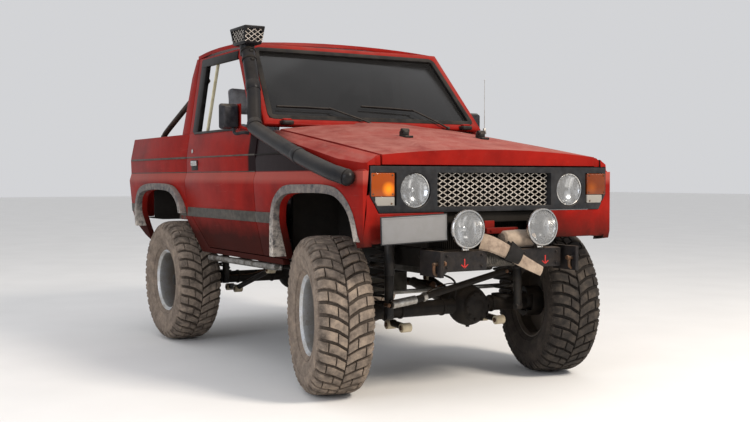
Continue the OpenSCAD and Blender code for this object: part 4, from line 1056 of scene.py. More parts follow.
def turned(bm, profile, place, steps=40):
    """Turns a profile of distance forward and radius about the line ahead of a point."""
    start = [bm.verts.new(Vector(place) + Vector((x, 0, r))) for x, r in profile]
    edges = [bm.edges.new(pair) for pair in zip(start, start[1:])]
    before = set(bm.faces)
    bmesh.ops.spin(bm, geom=start + edges, cent=place, axis=(1, 0, 0), angle=math.tau, steps=steps, use_merge=True)
    new = [f for f in bm.faces if f not in before]
    bmesh.ops.remove_doubles(bm, verts=list({v for f in new for v in f.verts}), dist=1e-6)
    bmesh.ops.recalc_face_normals(bm, faces=[f for f in bm.faces if f not in before])


def lens_dome(bm, place, r, crown, steps=5):
    """A crowned round lens with a flat back."""
    profile = [(0.0, 0.0)] + [(0.0, r)] + [(crown * (1 - (1 - k / steps) ** 2), r * (1 - k / steps)) for k in
                                          range(1, steps)] + [(crown, 0.0)]
    turned(bm, profile, place)


bowls, lenses, rims = bmesh.new(), bmesh.new(), bmesh.new()
for side in (-1, 1):
    place = (FACE_X - 0.012, side * LAMP_Y, LAMP_Z)
    turned(bowls, [(-0.044, 0.0), (-0.044, 0.020), (-0.036, 0.050), (-0.020, 0.074), (0.0, 0.086), (-0.002, 0.088),
                   (-0.024, 0.076), (-0.046, 0.040), (-0.048, 0.0)], place)
    turned(bowls, [(-0.044, 0.0), (-0.044, 0.011), (-0.016, 0.010), (-0.012, 0.0)], place, 16)
    lens_dome(lenses, place, 0.086, 0.014)
    turned(rims, [(-0.010, 0.084), (0.004, 0.083), (0.007, 0.087), (0.004, 0.0915), (-0.010, 0.0915),
                  (-0.010, 0.084)],
           place)
piece("headlamp_bowls", bowls, reflector)
piece("headlamp_lenses", lenses, fluted)
piece("headlamp_rims", rims, chrome)

SPOT_Y, SPOT_Z, SPOT_R = 0.245, 0.906, 0.102
spot_back, spot_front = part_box("driving_lamps")[0].x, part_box("driving_lamps")[1].x
shells, bowls, lenses = bmesh.new(), bmesh.new(), bmesh.new()
for side in (-1, 1):
    place = (spot_back, side * SPOT_Y, SPOT_Z)
    depth = spot_front - spot_back - 0.012
    turned(shells, [(0.0, 0.0), (0.0, 0.030), (0.008, 0.055), (0.024, 0.078), (0.046, 0.093), (0.062, 0.097),
                    (0.064, SPOT_R), (depth, SPOT_R), (depth + 0.004, SPOT_R - 0.003), (depth + 0.004,
                                                                                        SPOT_R - 0.010),
                    (depth - 0.004, SPOT_R - 0.010), (0.020, 0.060), (0.010, 0.0)], place, 48)
    rod(shells, (spot_back + 0.036, side * SPOT_Y, SPOT_Z - 0.082),
        (spot_back + 0.036, side * SPOT_Y, SPOT_Z - 0.100),
        0.013, None, 16, 0.002)
    lump(shells, (spot_back + 0.020, side * SPOT_Y - 0.020, 0.795),
         (spot_back + 0.052, side * SPOT_Y + 0.020, 0.809), 0.003)
    rod(shells, (spot_back + 0.066, side * SPOT_Y, SPOT_Z - SPOT_R - 0.006), (spot_back + 0.066, side * SPOT_Y,
        SPOT_Z - SPOT_R + 0.004), 0.005, None, 12, 0.001)
    turned(bowls, [(0.014, 0.0), (0.014, 0.022), (0.024, 0.056), (0.046, 0.080), (depth - 0.002, 0.0905),
                   (depth - 0.004, 0.0915), (0.040, 0.080), (0.010, 0.030), (0.010, 0.0)], place)
    turned(bowls, [(0.012, 0.0), (0.012, 0.013), (0.040, 0.012), (0.046, 0.0)], place, 16)
    lens_dome(lenses, (spot_back + depth - 0.002, side * SPOT_Y, SPOT_Z), 0.0915, 0.013)
piece("driving_lamp_shells", shells, chrome, replaces=["driving_lamps"])
piece("driving_lamp_bowls", bowls, reflector)
piece("driving_lamp_lenses", lenses, fluted)


def acrylic(name, deep, painted_glow, spot):
    """Moulded lens plastic with a painted highlight, lighter where the bulb stands behind it though the lamp is off,
    with ribs 5 mm apart.
    """
    material, tree, shader = new_material(name)
    coords = add(tree, "TexCoord").outputs["Object"]
    # Painted highlight: the colour brightens towards the spot where the bulb stands
    near = add(tree, "VectorMath", {0: coords, 1: Vector(spot)}, operation="DISTANCE")
    feed(tree, shader, {
        "Base Color": add(tree, "ValToRGB", {"Fac": near.outputs["Value"]},
                          [(0.006, painted_glow), (0.042, deep)]).outputs[0]})
    ribs = add(tree, "TexWave", {"Vector": coords, "Scale": 62}, wave_type="BANDS", bands_direction="Y")
    bump = add(tree, "Bump", {"Height": ribs.outputs["Fac"], "Distance": 0.001, "Strength": 0.6})
    feed(tree, shader, {"Normal": bump.outputs[0], "Roughness": 0.18, "Specular IOR Level": 0.2, "Coat Weight": 0.2})
    return material


clear_acrylic = acrylic("moulded_clear_acrylic", "#8f8b84", "#a9a59d", (FACE_X, 0, 0))
# The right amber lens has a bright painted highlight; the left copy is darker, painted shade, as that side stands in
# shadow
for name, side, deep, painted_glow in (("right", -1, "#8f3d04", "#ff8f10"), ("left", 1, "#6a2e0c", "#8a4412")):
    amber = acrylic("moulded_amber_acrylic_" + name, deep, painted_glow, (FACE_X + 0.004, side * 0.672, 1.112))
    bm = bmesh.new()
    lump(bm, (FACE_X - 0.020, side * 0.636, 1.076), (FACE_X + 0.003, side * 0.772,
         1.194), 0.005, 3)
    piece("indicator_lens_" + name, bm, amber, replaces=["front_lamps"] if side < 0 else ())
    bm = lump(bmesh.new(), (FACE_X - 0.020, side * 0.636, 1.029), (FACE_X + 0.002,
              side * 0.748, 1.0745), 0.004, 3)
    cut(bm, (0, side * 0.735, 1.029), (0, side * 0.085, -0.052), True)
    piece("side_lamp_lens_" + name, bm, clear_acrylic)
    bm = bmesh.new()
    for y, z in ((0.650, 1.182), (0.760, 1.182), (0.648, 1.088), (0.655, 1.040), (0.762, 1.088)):
        rod(bm, (FACE_X, side * y, z), (FACE_X + 0.0055, side * y, z), 0.0045, None, 12, 0.001)
        lump(bm, (FACE_X + 0.005, side * y - 0.004, z - 0.0006), (FACE_X + 0.0065, side * y + 0.004, z + 0.0006))
    piece("lens_screws_" + name, bm, rusty_steel)

# Number plate: blank pressed aluminium on a black backing, held off the valance by two spacers
plate_metal = weathered("blank_pressed_plate", "#7f7f80", "#7b7b7b", "#6f6963", patch=0.08, rough=(0.35, 0.6),
                        on_top=0.3,
                        all_over=0.12)
tilt = Matrix.Rotation(math.radians(1.9), 4, "X")
centre = Vector((MID_X + 1.700, -0.550, 0.912))
bm = lump(bmesh.new(), centre - Vector((0.006, 0.199, 0.071)), centre + Vector((-0.001, 0.199, 0.071)), 0.002, 2,
          tilt)
for y in (-0.12, 0.12):
    rod(bm, (FACE_X - 0.004, centre.y + y, centre.z), (centre.x - 0.004, centre.y + y, centre.z), 0.011, None, 16,
        0.001)
piece("plate_backing", bm, abs_panel)
bm = lump_at(bmesh.new(), centre, (0.001, 0.193, 0.065), 0.0008, 2, tilt)
for w, h, dy, dz in ((0.188, 0.0015, 0, 0.060), (0.188, 0.0015, 0, -0.060), (0.0015, 0.060, 0.188, 0),
                     (0.0015, 0.060, -0.188, 0)):
    spot = tilt @ Vector((0.0015, dy, dz)) + centre
    lump_at(bm, spot, (0.0012, w, h), 0.0006, 1, tilt)
piece("blank_number_plate", bm, plate_metal)


# Front bumper: two folded boxes either side of the winch, with recovery eyes on flame-cut side plates.
# Welded plate, brush-painted black, stone-chipped to rust; the winch is a steel drum with a canvas-covered motor.
bumper_paint = weathered("chipped_black_bumper_paint", "#131417", "#1d1d20", "#6f6052", patch=0.02,
                         rough=(0.35, 0.75),
                         on_top=0.6, all_over=0.10, grain=0.002)
bm = soften(merged("front_bumper"), 0.005, 3)
for side in (-1, 1):
    for y in (0.14, 0.36):
        for z in (0.71, 0.77):
            hexagon(bm, (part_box("front_bumper")[1].x - 0.078, side * y, z), (1, 0, 0), 0.006, 0.005)
piece("winch_bumper", bm, bumper_paint, replaces=["front_bumper"])
mark_red, tree, shader = new_material("hand_painted_red_mark")
coords = add(tree, "TexCoord").outputs["Object"]
brushed = add(tree, "TexNoise", {"Vector": coords, "Scale": 120, "Detail": 4})
feed(tree, shader, {
    "Base Color": add(tree, "ValToRGB", {"Fac": brushed.outputs["Fac"]},
                      [(0.35, "#8a1712"), (0.6, "#c3261d")]).outputs[0],
    "Roughness": 0.5})
bm = bmesh.new()
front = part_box("front_bumper")[1].x - 0.0775
for y in (-0.250, 0.284):
    lump(bm, (front, y - 0.0035, 0.706), (front + 0.0012, y + 0.0035, 0.752), 0.0005, 1)
    for lean in (-1, 1):
        head = Vector((front + 0.0006, y + lean * 0.010, 0.714))
        lump_at(bm, head, (0.0006, 0.014, 0.003), 0.0004, 1,
             Matrix.Rotation(lean * math.radians(38), 4, "X"))
piece("tow_point_marks", bm, mark_red)
bm = bmesh.new()
eye = Vector((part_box("front_bumper")[1].x - 0.034, 0, 0.736))
for side in (-1, 1):
    y = side * 0.442
    rod(bm, eye + Vector((0, y - 0.034, 0)), eye + Vector((0, y + 0.034, 0)), 0.0085, None, 16, 0.002)
    rod(bm, eye + Vector((0, y - side * 0.030, 0)), eye + Vector((0, y - side * 0.044, 0)), 0.014, None, 6, 0.002)
    bow = [eye + Vector((0.0, y - 0.023, 0.004)), eye + Vector((-0.002, y - 0.026, -0.022)),
           eye + Vector((-0.004, y - 0.020, -0.048)), eye + Vector((-0.004, y, -0.058)),
           eye + Vector((-0.004, y + 0.020, -0.048)), eye + Vector((-0.002, y + 0.026, -0.022)),
           eye + Vector((0.0, y + 0.023, 0.004))]
    tube(bm, smooth_path(bow, 4), 0.008, 14)
piece("bow_shackles", bm, rusty_steel)

winch_steel = weathered("zinc_and_grease_winch_steel", "#4c4a46", "#6a655e", "#7d7061", patch=0.03, metallic=0.6,
                        rough=(0.35, 0.7))
low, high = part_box("winch")
axis_x, axis_z, drum_r = (low.x + high.x) / 2, (low.z + high.z) / 2, (high.z - low.z) / 2
bm = bmesh.new()
rod(bm, (axis_x, low.y, axis_z), (axis_x, high.y, axis_z), drum_r - 0.012, None, 36, 0.002)
for y in (low.y + 0.004, high.y - 0.004):
    rod(bm, (axis_x, y - 0.004, axis_z), (axis_x, y + 0.004, axis_z), drum_r, None, 36, 0.002)
for k in range(15):
    # Turns of 9 mm wire rope, lying side by side
    ring = bmesh.ops.create_circle(bm, segments=8, radius=0.005, matrix=Matrix.Translation(
        (axis_x, low.y + 0.018 + k * 0.0115, axis_z + drum_r - 0.009)) @ Matrix.Rotation(math.pi / 2, 4,
                                                                                         "Y"))["verts"]
    bmesh.ops.spin(bm, geom=ring + list({e for v in ring for e in v.link_edges}), cent=(axis_x, 0, axis_z),
                   axis=(0, 1, 0), angle=math.tau, steps=32, use_merge=True)
bmesh.ops.remove_doubles(bm, verts=bm.verts, dist=1e-6)
bmesh.ops.recalc_face_normals(bm, faces=bm.faces)
piece("winch_drum_and_rope", bm, winch_steel, replaces=["winch"])

canvas, tree, shader = new_material("dusty_woven_canvas")
coords = add(tree, "TexCoord")
soil = add(tree, "TexNoise", {"Vector": coords.outputs["Object"], "Scale": 14, "Detail": 8, "Roughness": 0.7})
feed(tree, shader, {
    "Base Color": add(tree, "ValToRGB", {"Fac": soil.outputs["Fac"]},
                      [(0.34, "#6f6052"), (0.66, "#a89683")]).outputs[0],
    "Roughness": 0.92, "Sheen Weight": 0.3})
# The real threads are under 1 mm, too fine to show, so the weave is drawn 4 mm wide
warp = add(tree, "TexWave", {"Vector": coords.outputs["Object"], "Scale": 78}, wave_type="BANDS", bands_direction="Y")
weft = add(tree, "TexWave", {"Vector": coords.outputs["Object"], "Scale": 78}, wave_type="BANDS", bands_direction="Z")
weave = add(tree, "Math", {0: warp.outputs["Fac"], 1: weft.outputs["Fac"]}, operation="MULTIPLY")
bump = add(tree, "Bump", {"Height": weave.outputs[0], "Distance": 0.0012, "Strength": 0.6})
feed(tree, shader, {"Normal": bump.outputs[0]})
bm = bmesh.new()
profile = [(0.0, 0.0), (0.0, 0.034), (0.010, 0.045), (0.05, 0.047), (0.11, 0.049), (0.17, 0.047), (0.20, 0.045),
           (0.213, 0.034), (0.213, 0.0)]
place = Vector((MID_X + 1.645, 0.035, 0.842))
start = [bm.verts.new(place + Vector((0, x, r))) for x, r in profile]
bmesh.ops.spin(bm, geom=start + [bm.edges.new(pair) for pair in zip(start, start[1:])], cent=place, axis=(0, 1, 0),
               angle=math.tau, steps=36, use_merge=True)
bmesh.ops.remove_doubles(bm, verts=bm.verts, dist=1e-6)
bmesh.ops.recalc_face_normals(bm, faces=bm.faces)
piece("winch_motor_cover", bm, canvas)

# Recovery strap: folded polyester webbing, stitched, sleeved in black at the middle and fixed at both ends
webbing, tree, shader = new_material("soiled_polyester_webbing")
coords = add(tree, "TexCoord").outputs["Object"]
soil = add(tree, "TexNoise", {"Vector": coords, "Scale": 22, "Detail": 8, "Roughness": 0.7})
feed(tree, shader, {
    "Base Color": add(tree, "ValToRGB", {"Fac": soil.outputs["Fac"]},
                      [(0.36, "#7a6858"), (0.62, "#a5927f")]).outputs[0],
    "Roughness": 0.85, "Sheen Weight": 0.35})
# The real ribs are 1.5 mm apart; drawn at 5 mm so that they show
leaning = add(tree, "Mapping", {"Vector": coords, "Rotation": (math.radians(32), 0, 0)})
ribs = add(tree, "TexWave", {"Vector": leaning.outputs[0], "Scale": 62}, wave_type="BANDS", bands_direction="Z")
bump = add(tree, "Bump", {"Height": ribs.outputs["Fac"], "Distance": 0.001, "Strength": 0.6})
feed(tree, shader, {"Normal": bump.outputs[0]})


def band(bm, path, widths, thickness, crown=0.0):
    """A flat strap along a path that runs across the bumper, its width changing along it."""
    centre = smooth_path(path, 8)
    rows = len(centre)
    grid = bmesh.ops.create_grid(bm, x_segments=rows - 1, y_segments=6, size=0.5)["verts"]
    for v in grid:
        k = round((v.co.x + 0.5) * (rows - 1))
        across = v.co.y
        way = (centre[min(k + 1, rows - 1)] - centre[max(k - 1, 0)]).normalized()
        side = Vector((1, 0, 0)).cross(way).normalized()
        s = k / (rows - 1)
        width = widths[0] + (widths[1] - widths[0]) * s
        v.co = centre[k] + side * across * width + Vector((crown * (1 - 4 * across * across), 0, 0))
    faces = list({f for v in grid for f in v.link_faces})
    bmesh.ops.recalc_face_normals(bm, faces=faces)
    bmesh.ops.solidify(bm, geom=faces, thickness=thickness)


strap_path = [(MID_X + 1.694, -0.140, 0.838), (MID_X + 1.722, -0.086, 0.822), (MID_X + 1.738, -0.008, 0.786),
              (MID_X + 1.742, 0.070, 0.744), (MID_X + 1.742, 0.150, 0.706), (MID_X + 1.738, 0.235, 0.668)]
bm = bmesh.new()
band(bm, strap_path, (0.092, 0.052), 0.006, 0.006)
band(bm, [Vector(p) + Vector((0.0075, -0.004, 0.004)) for p in strap_path[:4]], (0.080, 0.060), 0.005, 0.006)
piece("webbing_strap", bm, webbing, replaces=["winch_strap"])
bm = bmesh.new()
middle = [Vector(p) + Vector((0.016, 0.008, 0.004)) for p in strap_path[2:4]]
band(bm, middle, (0.108, 0.080), 0.008, 0.010)
band(bm, [p - Vector((0.034, 0, 0)) for p in middle], (0.108, 0.080), 0.006, 0.0)
piece("strap_sleeve", bm, seal_rubber)


# Snorkel: air pipe up the right-hand pillar to a head with a mesh front.
# Rotomoulded black polythene with a slight sheen, held by a clamp at the head and brackets on the pillar.
polythene = weathered("rotomoulded_polythene", "#0c0d11", "#15171c", "#5f574e", patch=0.12, rough=(0.30, 0.65),
                      on_top=0.35, all_over=0.08)
bm = bmesh.new()
pipe = [(0.176, -0.788, 1.950), (0.306, -0.812, 1.720), (0.400, -0.846, 1.525), (0.432, -0.857, 1.483),
        (0.490, -0.866, 1.452), (1.060, -0.884, 1.290), (1.400, -0.880, 1.206), (1.500, -0.874, 1.186),
        (1.560, -0.862, 1.172)]
pipe = [Vector((MID_X + x, y, z)) for x, y, z in pipe]
tube(bm, smooth_path(pipe, 6), 0.042, 32)
# Rounded end where the pipe turns into the wing, and moulded sleeves at the joints
cap = bmesh.ops.create_uvsphere(bm, u_segments=28, v_segments=14, radius=0.044,
                                matrix=Matrix.Translation(pipe[-1] + Vector((-0.008, 0.004, 0))))["verts"]
bmesh.ops.scale(bm, verts=cap, vec=(1.0, 0.92, 1.0), space=Matrix.Translation(-pipe[-1]))
for k, half in ((1, 0.030), (3, 0.020), (5, 0.022)):
    way = (pipe[k + 1] - pipe[k - 1]).normalized()
    rod(bm, pipe[k] - way * half, pipe[k] + way * half, 0.0448, None, 32, 0.002)
bmesh.ops.recalc_face_normals(bm, faces=bm.faces)
piece("snorkel_pipe", bm, polythene, replaces=["snorkel"])
head_low, head_high = Vector((MID_X + 0.030, -0.850, 1.985)), Vector((MID_X + 0.272, -0.712, 2.094))
bm = lump(bmesh.new(), head_low, head_high)
bmesh.ops.scale(bm, verts=[v for v in bm.verts if v.co.z < 2.0], vec=(0.74, 0.82, 1),
                space=Matrix.Translation(-(head_low + head_high) / 2))
bmesh.ops.bevel(bm, geom=list(bm.edges), offset=0.008, affect="EDGES", segments=3, profile=0.5, material=-1)
for way in (Vector((1, 0, 0)), Vector((0, -1, 0))):
    face = max((f for f in bm.faces if f.calc_area() > 0.004), key=lambda f: f.normal.dot(way))
    bmesh.ops.inset_region(bm, faces=[face], thickness=0.010, use_even_offset=True)
    bmesh.ops.inset_region(bm, faces=[face], thickness=0.001, depth=-0.016, use_even_offset=True)
neck = Vector((MID_X + 0.160, -0.785, 1.900))
rod(bm, neck + Vector((0.004, 0, 0.02)), neck + Vector((-0.004, 0, 0.10)), 0.046, None, 32, 0.004)
piece("snorkel_head", bm, polythene)
bm = bmesh.new()
for way in (-1, 1):
    for k in range(-9, 10):
        for axis in ("X", "Y"):
            turn = Matrix.Rotation(way * math.radians(36), 4, axis)
            if axis == "X":
                centre = Vector((head_high.x - 0.0125, (head_low.y + head_high.y) / 2, 2.042 + k * 0.030))
                lump_at(bm, centre, (0.0012, 0.14, 0.0012), 0, 2, turn)
            else:
                centre = Vector(((head_low.x + head_high.x) / 2, head_low.y + 0.0125, 2.042 + k * 0.030))
                lump_at(bm, centre, (0.20, 0.0012, 0.0012), 0, 2, turn)
inner = Vector((0.013, 0.012, 0.012))
for corner, out in ((head_low + inner, -1), (head_high - inner, 1)):
    for way in (Vector((0, out, 0)), Vector((0, 0, out)), Vector((out, 0, 0))):
        spare = 0.0035 if way.x or way.y else 0.0
        cut(bm, corner + way * spare, way, True, 1e-6, 4)
piece("snorkel_head_mesh", bm, expanded)
bm = bmesh.new()
way = (pipe[1] - pipe[0]).normalized()
for s in (0.02, 0.26):
    spot = pipe[0] + (pipe[1] - pipe[0]) * s
    rod(bm, spot - way * 0.006, spot + way * 0.006, 0.0462, None, 32, 0.001)
    lump(bm, spot + Vector((0.040, -0.012, -0.008)), spot + Vector((0.056, 0.012, 0.008)), 0.003)
piece("snorkel_clamps", bm, chassis_enamel)


# Roll-bar stays and step bars: bent and welded tube, bolted through flanged feet.
# The stays are painted black over rust; the steps are scuffed back to bright steel on top.
bm = bmesh.new()
for side in (-1, 1):
    stay = [(-0.978, -0.600, 1.872), (-1.090, -0.606, 1.820), (-1.287, -0.614, 1.735), (-1.740, -0.640, 1.535),
            (-1.792, -0.6435, 1.490), (-1.815, -0.645, 1.440), (-1.820, -0.645, 0.862)]
    tube(bm, smooth_path([(MID_X + x, side * -y, z) for x, y, z in stay], 6), 0.0215, 20)
    lump(bm, (MID_X - 1.870, side * 0.645 - 0.045, 0.856), (MID_X - 1.770, side * 0.645 + 0.020, 0.864), 0.002)
    for dx in (-0.038, 0.038):
        hexagon(bm, (MID_X - 1.820 + dx, side * 0.616, 0.864), (0, 0, 1), 0.008, 0.006)
piece("roll_bar_stays", bm, weathered("flaking_black_tube_paint", "#1f1a18", "#3a2a22", "#76685a", patch=0.05,
                                      rough=(0.4, 0.75)), replaces=["roll_bar"])
worn_steel = weathered("scuffed_step_steel", "#8f8d89", "#4b463f", "#867766", patch=0.06, metallic=0.7,
                       rough=(0.35, 0.7),
                       on_top=0.25)
bm = bmesh.new()
for side in (-1, 1):
    path = [(-0.560, 0.706, 0.630), (-0.535, 0.738, 0.631), (-0.480, 0.748, 0.632), (0.400, 0.748, 0.640),
            (0.455, 0.738, 0.640), (0.480, 0.706, 0.640)]
    tube(bm, smooth_path([(MID_X + x, side * y, z) for x, y, z in path], 6), 0.0208, 20)
piece("step_tubes", bm, worn_steel, replaces=["step_bars"])
bm = bmesh.new()
for side in (-1, 1):
    for x in (-0.36, -0.02, 0.32):
        lump(bm, (MID_X + x - 0.020, side * 0.33, 0.618), (MID_X + x + 0.020,
             side * 0.742, 0.634), 0.004)
piece("step_brackets", bm, chassis_enamel)


# Wheel-arch flares: extruded rubber strips bolted over the cut arches.
# Black rubber bleached to grey-brown on top, scuffed whitish at the feet.
flare_rubber, tree, shader = new_material("bleached_arch_rubber")
coords = add(tree, "TexCoord")
cloud = add(tree, "TexNoise", {"Vector": coords.outputs["Object"], "Scale": 26, "Detail": 8, "Roughness": 0.75})
fine = add(tree, "TexNoise", {"Vector": coords.outputs["Object"], "Scale": 130, "Detail": 4})
height = add(tree, "SeparateXYZ", {0: coords.outputs["Object"]})
tone = add(tree, "ValToRGB", {"Fac": cloud.outputs["Fac"]}, [(0.36, "#303137"), (0.62, "#7a7068")]).outputs[0]
foot = add(tree, "MapRange", {"Value": height.outputs["Z"], "From Min": 1.02, "From Max": 0.80, "To Max": 1.0})
scuffs = add(tree, "Math", {0: foot.outputs[0],
                            1: add(tree, "ValToRGB", {"Fac": cloud.outputs["Fac"]},
                                   [(0.40, 0.1), (0.58, 1.0)]).outputs[0]},
             operation="MULTIPLY")
pale = add(tree, "Mix", {0: scuffs.outputs[0], 6: tone, 7: linear("#c4b9ac")}, data_type="RGBA")
facing = add(tree, "SeparateXYZ", {0: coords.outputs["Normal"]})
upward = add(tree, "MapRange", {"Value": facing.outputs["Z"], "From Min": 0.2, "From Max": 0.9, "To Max": 0.65})
top = add(tree, "Mix", {0: upward.outputs[0], 6: pale.outputs[2], 7: linear("#8b8077")}, data_type="RGBA")
feed(tree, shader, {"Base Color": top.outputs[2], "Roughness": 0.62})
bump = add(tree, "Bump", {"Height": fine.outputs["Fac"], "Distance": 0.001, "Strength": 0.5})
feed(tree, shader, {"Normal": bump.outputs[0]})
piece("arch_flares", soften(merged("flares"), 0.012, 4, 20), flare_rubber, replaces=["flares"])


# Cab: moulded dashboard, thin-rimmed steering wheel and two seats with separate headrests.
# The dashboard is padded vinyl over foam; the wheel is a steel hoop in moulded urethane.
vinyl = weathered("sun_bleached_vinyl", "#242322", "#34322f", "#6f675d", patch=0.05, rough=(0.45, 0.8), on_top=0.5,
                  all_over=0.15, grain=0.0015)
bm = soften(merged("dashboard"), 0.022, 4)
low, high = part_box("dashboard")
lump(bm, (low.x - 0.006, 0.16, high.z - 0.012), (low.x + 0.11, 0.56, high.z + 0.035), 0.020, 4)
lump(bm, (low.x - 0.010, -0.12, 1.215), (low.x + 0.02, 0.10, 1.385), 0.008, 3)
lump(bm, (low.x - 0.008, -0.62, 1.22), (low.x + 0.02, -0.20, 1.34), 0.010, 3)
lump(bm, (low.x - 0.012, -0.68, 1.355), (low.x + 0.02, -0.18, 1.372), 0.006, 3)
for y in (-0.06, 0.0, 0.06):
    rod(bm, (low.x - 0.010, y, 1.25), (low.x - 0.024, y, 1.25), 0.013, 0.011, 20, 0.002)
piece("padded_dashboard", bm, vinyl, replaces=["dashboard"])

urethane = weathered("polished_black_urethane", "#161616", "#232221", "#5b544b", patch=0.06, rough=(0.35, 0.6),
                     on_top=0.15, all_over=0.08, grain=0.001)
centre = Vector(joints["steering_wheel_turn"]["pos_m"])
shaft = Vector(joints["steering_wheel_turn"]["axis"]).normalized()
lie = Matrix.Translation(centre) @ shaft.to_track_quat("Z", "Y").to_matrix().to_4x4()
hoop_r, grip_r = 0.180, 0.0135
bm = bmesh.new()
ring = bmesh.ops.create_circle(bm, segments=16, radius=grip_r, matrix=Matrix.Translation((hoop_r, 0, 0))
                               @ Matrix.Rotation(math.pi / 2, 4, "X"))["verts"]
bmesh.ops.spin(bm, geom=ring + list({e for v in ring for e in v.link_edges}), cent=(0, 0, 0), axis=(0, 0, 1),
               angle=math.tau, steps=72, use_merge=True)
bmesh.ops.remove_doubles(bm, verts=bm.verts, dist=1e-6)
rod(bm, (0, 0, -0.012), (0, 0, 0.012), 0.046, 0.042, 32, 0.004)
for k in range(3):
    turn = Matrix.Rotation(math.tau * k / 3, 4, "Z")
    known = set(bm.verts)
    lump(bm, (0.034, -0.016, -0.006), (0.172, 0.016, 0.004), 0.004, 3)
    bmesh.ops.transform(bm, matrix=turn, verts=[v for v in bm.verts if v not in known])
bmesh.ops.transform(bm, matrix=lie, verts=bm.verts)
bmesh.ops.recalc_face_normals(bm, faces=bm.faces)
piece("steering_wheel_hoop", bm, urethane, "steering_wheel", ["steering_wheel"])
bm = rod(bmesh.new(), centre - shaft * 0.020, centre - shaft * 0.175, 0.024, 0.032, 28, 0.004)
for side, reach in ((-1, 0.17), (1, 0.14)):
    start = centre - shaft * 0.060
    rod(bm, start, start + Vector((-0.012, side * reach, 0.030)), 0.006, 0.0045, 12, 0.001)
piece("steering_column", bm, vinyl)


# Seats: foam on sprung steel frames under stretched covers, with separate headrests on two posts.
# Woven grey cloth, sewn in upright channels; the foam swells the covers between their seams.
seat_cloth, tree, shader = new_material("woven_grey_seat_cloth")
coords = add(tree, "TexCoord").outputs["Object"]
soil = add(tree, "TexNoise", {"Vector": coords, "Scale": 9, "Detail": 8, "Roughness": 0.65})
feed(tree, shader, {
    "Base Color": add(tree, "ValToRGB", {"Fac": soil.outputs["Fac"]},
                      [(0.34, "#5d5d60"), (0.64, "#8b8b8d")]).outputs[0],
    "Roughness": 0.92, "Sheen Weight": 0.4})
# The real threads are 0.6 mm apart, too fine to show, so they are drawn 4 mm apart
warp = add(tree, "TexWave", {"Vector": coords, "Scale": 78}, wave_type="BANDS", bands_direction="Y")
weft = add(tree, "TexWave", {"Vector": coords, "Scale": 78}, wave_type="BANDS", bands_direction="X")
weave = add(tree, "Math", {0: warp.outputs["Fac"], 1: weft.outputs["Fac"]}, operation="ADD")
bump = add(tree, "Bump", {"Height": weave.outputs[0], "Distance": 0.0008, "Strength": 0.5})
feed(tree, shader, {"Normal": bump.outputs[0]})


def swell(bm, name, voxel, cap):
    """Fills a closed cover with foam: it is remeshed, blown up by cloth simulation, and held to a few millimetres."""
    cover = shape_object(name, bm, seat_cloth)
    bpy.context.view_layer.objects.active = cover
    remesh = cover.modifiers.new("remesh", "REMESH")
    remesh.mode, remesh.voxel_size = "VOXEL", voxel
    depsgraph = bpy.context.evaluated_depsgraph_get()
    cover.data = bpy.data.meshes.new_from_object(cover.evaluated_get(depsgraph))
    cover.modifiers.clear()
    before = [v.co.copy() for v in cover.data.vertices]
    cloth = cover.modifiers.new("foam", "CLOTH")
    cloth.settings.use_pressure, cloth.settings.uniform_pressure_force = True, 4.0
    cloth.settings.effector_weights.gravity = 0
    cloth.settings.quality = 4
    cloth.point_cache.frame_start, cloth.point_cache.frame_end = 1, 20
    for k in range(1, 21):
        bpy.context.scene.frame_set(k)
    swollen = bpy.data.meshes.new_from_object(cover.evaluated_get(bpy.context.evaluated_depsgraph_get()))
    cover.modifiers.clear()
    for v, old in zip(swollen.vertices, before):
        moved = v.co - old
        if moved.length > cap:
            v.co = old + moved.normalized() * cap
    cover.data = swollen
    bpy.context.scene.frame_set(1)
    return cover


def pad(name, corners, half, side, voxel, channels):
    """A seat pad from its side outline in X and Z, its half width, and the number of sewn channels."""
    y0, y1 = side * half[0], side * half[1]
    bm = bmesh.new()
    face = bm.faces.new([bm.verts.new((x, y0, z)) for x, z in corners])
    pull(bm, [face], (0, y1 - y0, 0))
    bmesh.ops.recalc_face_normals(bm, faces=bm.faces)
    bmesh.ops.bevel(bm, geom=list(bm.edges), offset=0.022, affect="EDGES", segments=4, profile=0.5, material=-1)
    cover = swell(bm, name, voxel, 0.022)
    work = bmesh.new()
    work.from_mesh(cover.data)
    bmesh.ops.subdivide_edges(work, edges=work.edges, cuts=1, use_grid_fill=True)
    bmesh.ops.smooth_vert(work, verts=work.verts, factor=0.5, use_axis_x=True, use_axis_y=True, use_axis_z=True)
    # Sewn channels, drawn in after the foam has swollen
    if channels:
        for v in work.verts:
            t = (v.co.y - y0) / (y1 - y0)
            if 0.12 < t < 0.88:
                near = abs((t * (channels + 1)) % 1 - 0.5)
                depth = 0.007 * math.exp(-((0.5 - near) / 0.055) ** 2)
                v.co -= v.normal * depth
    work.to_mesh(cover.data)
    work.free()
    cover.data.shade_smooth()
    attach(cover, "root")
    return cover


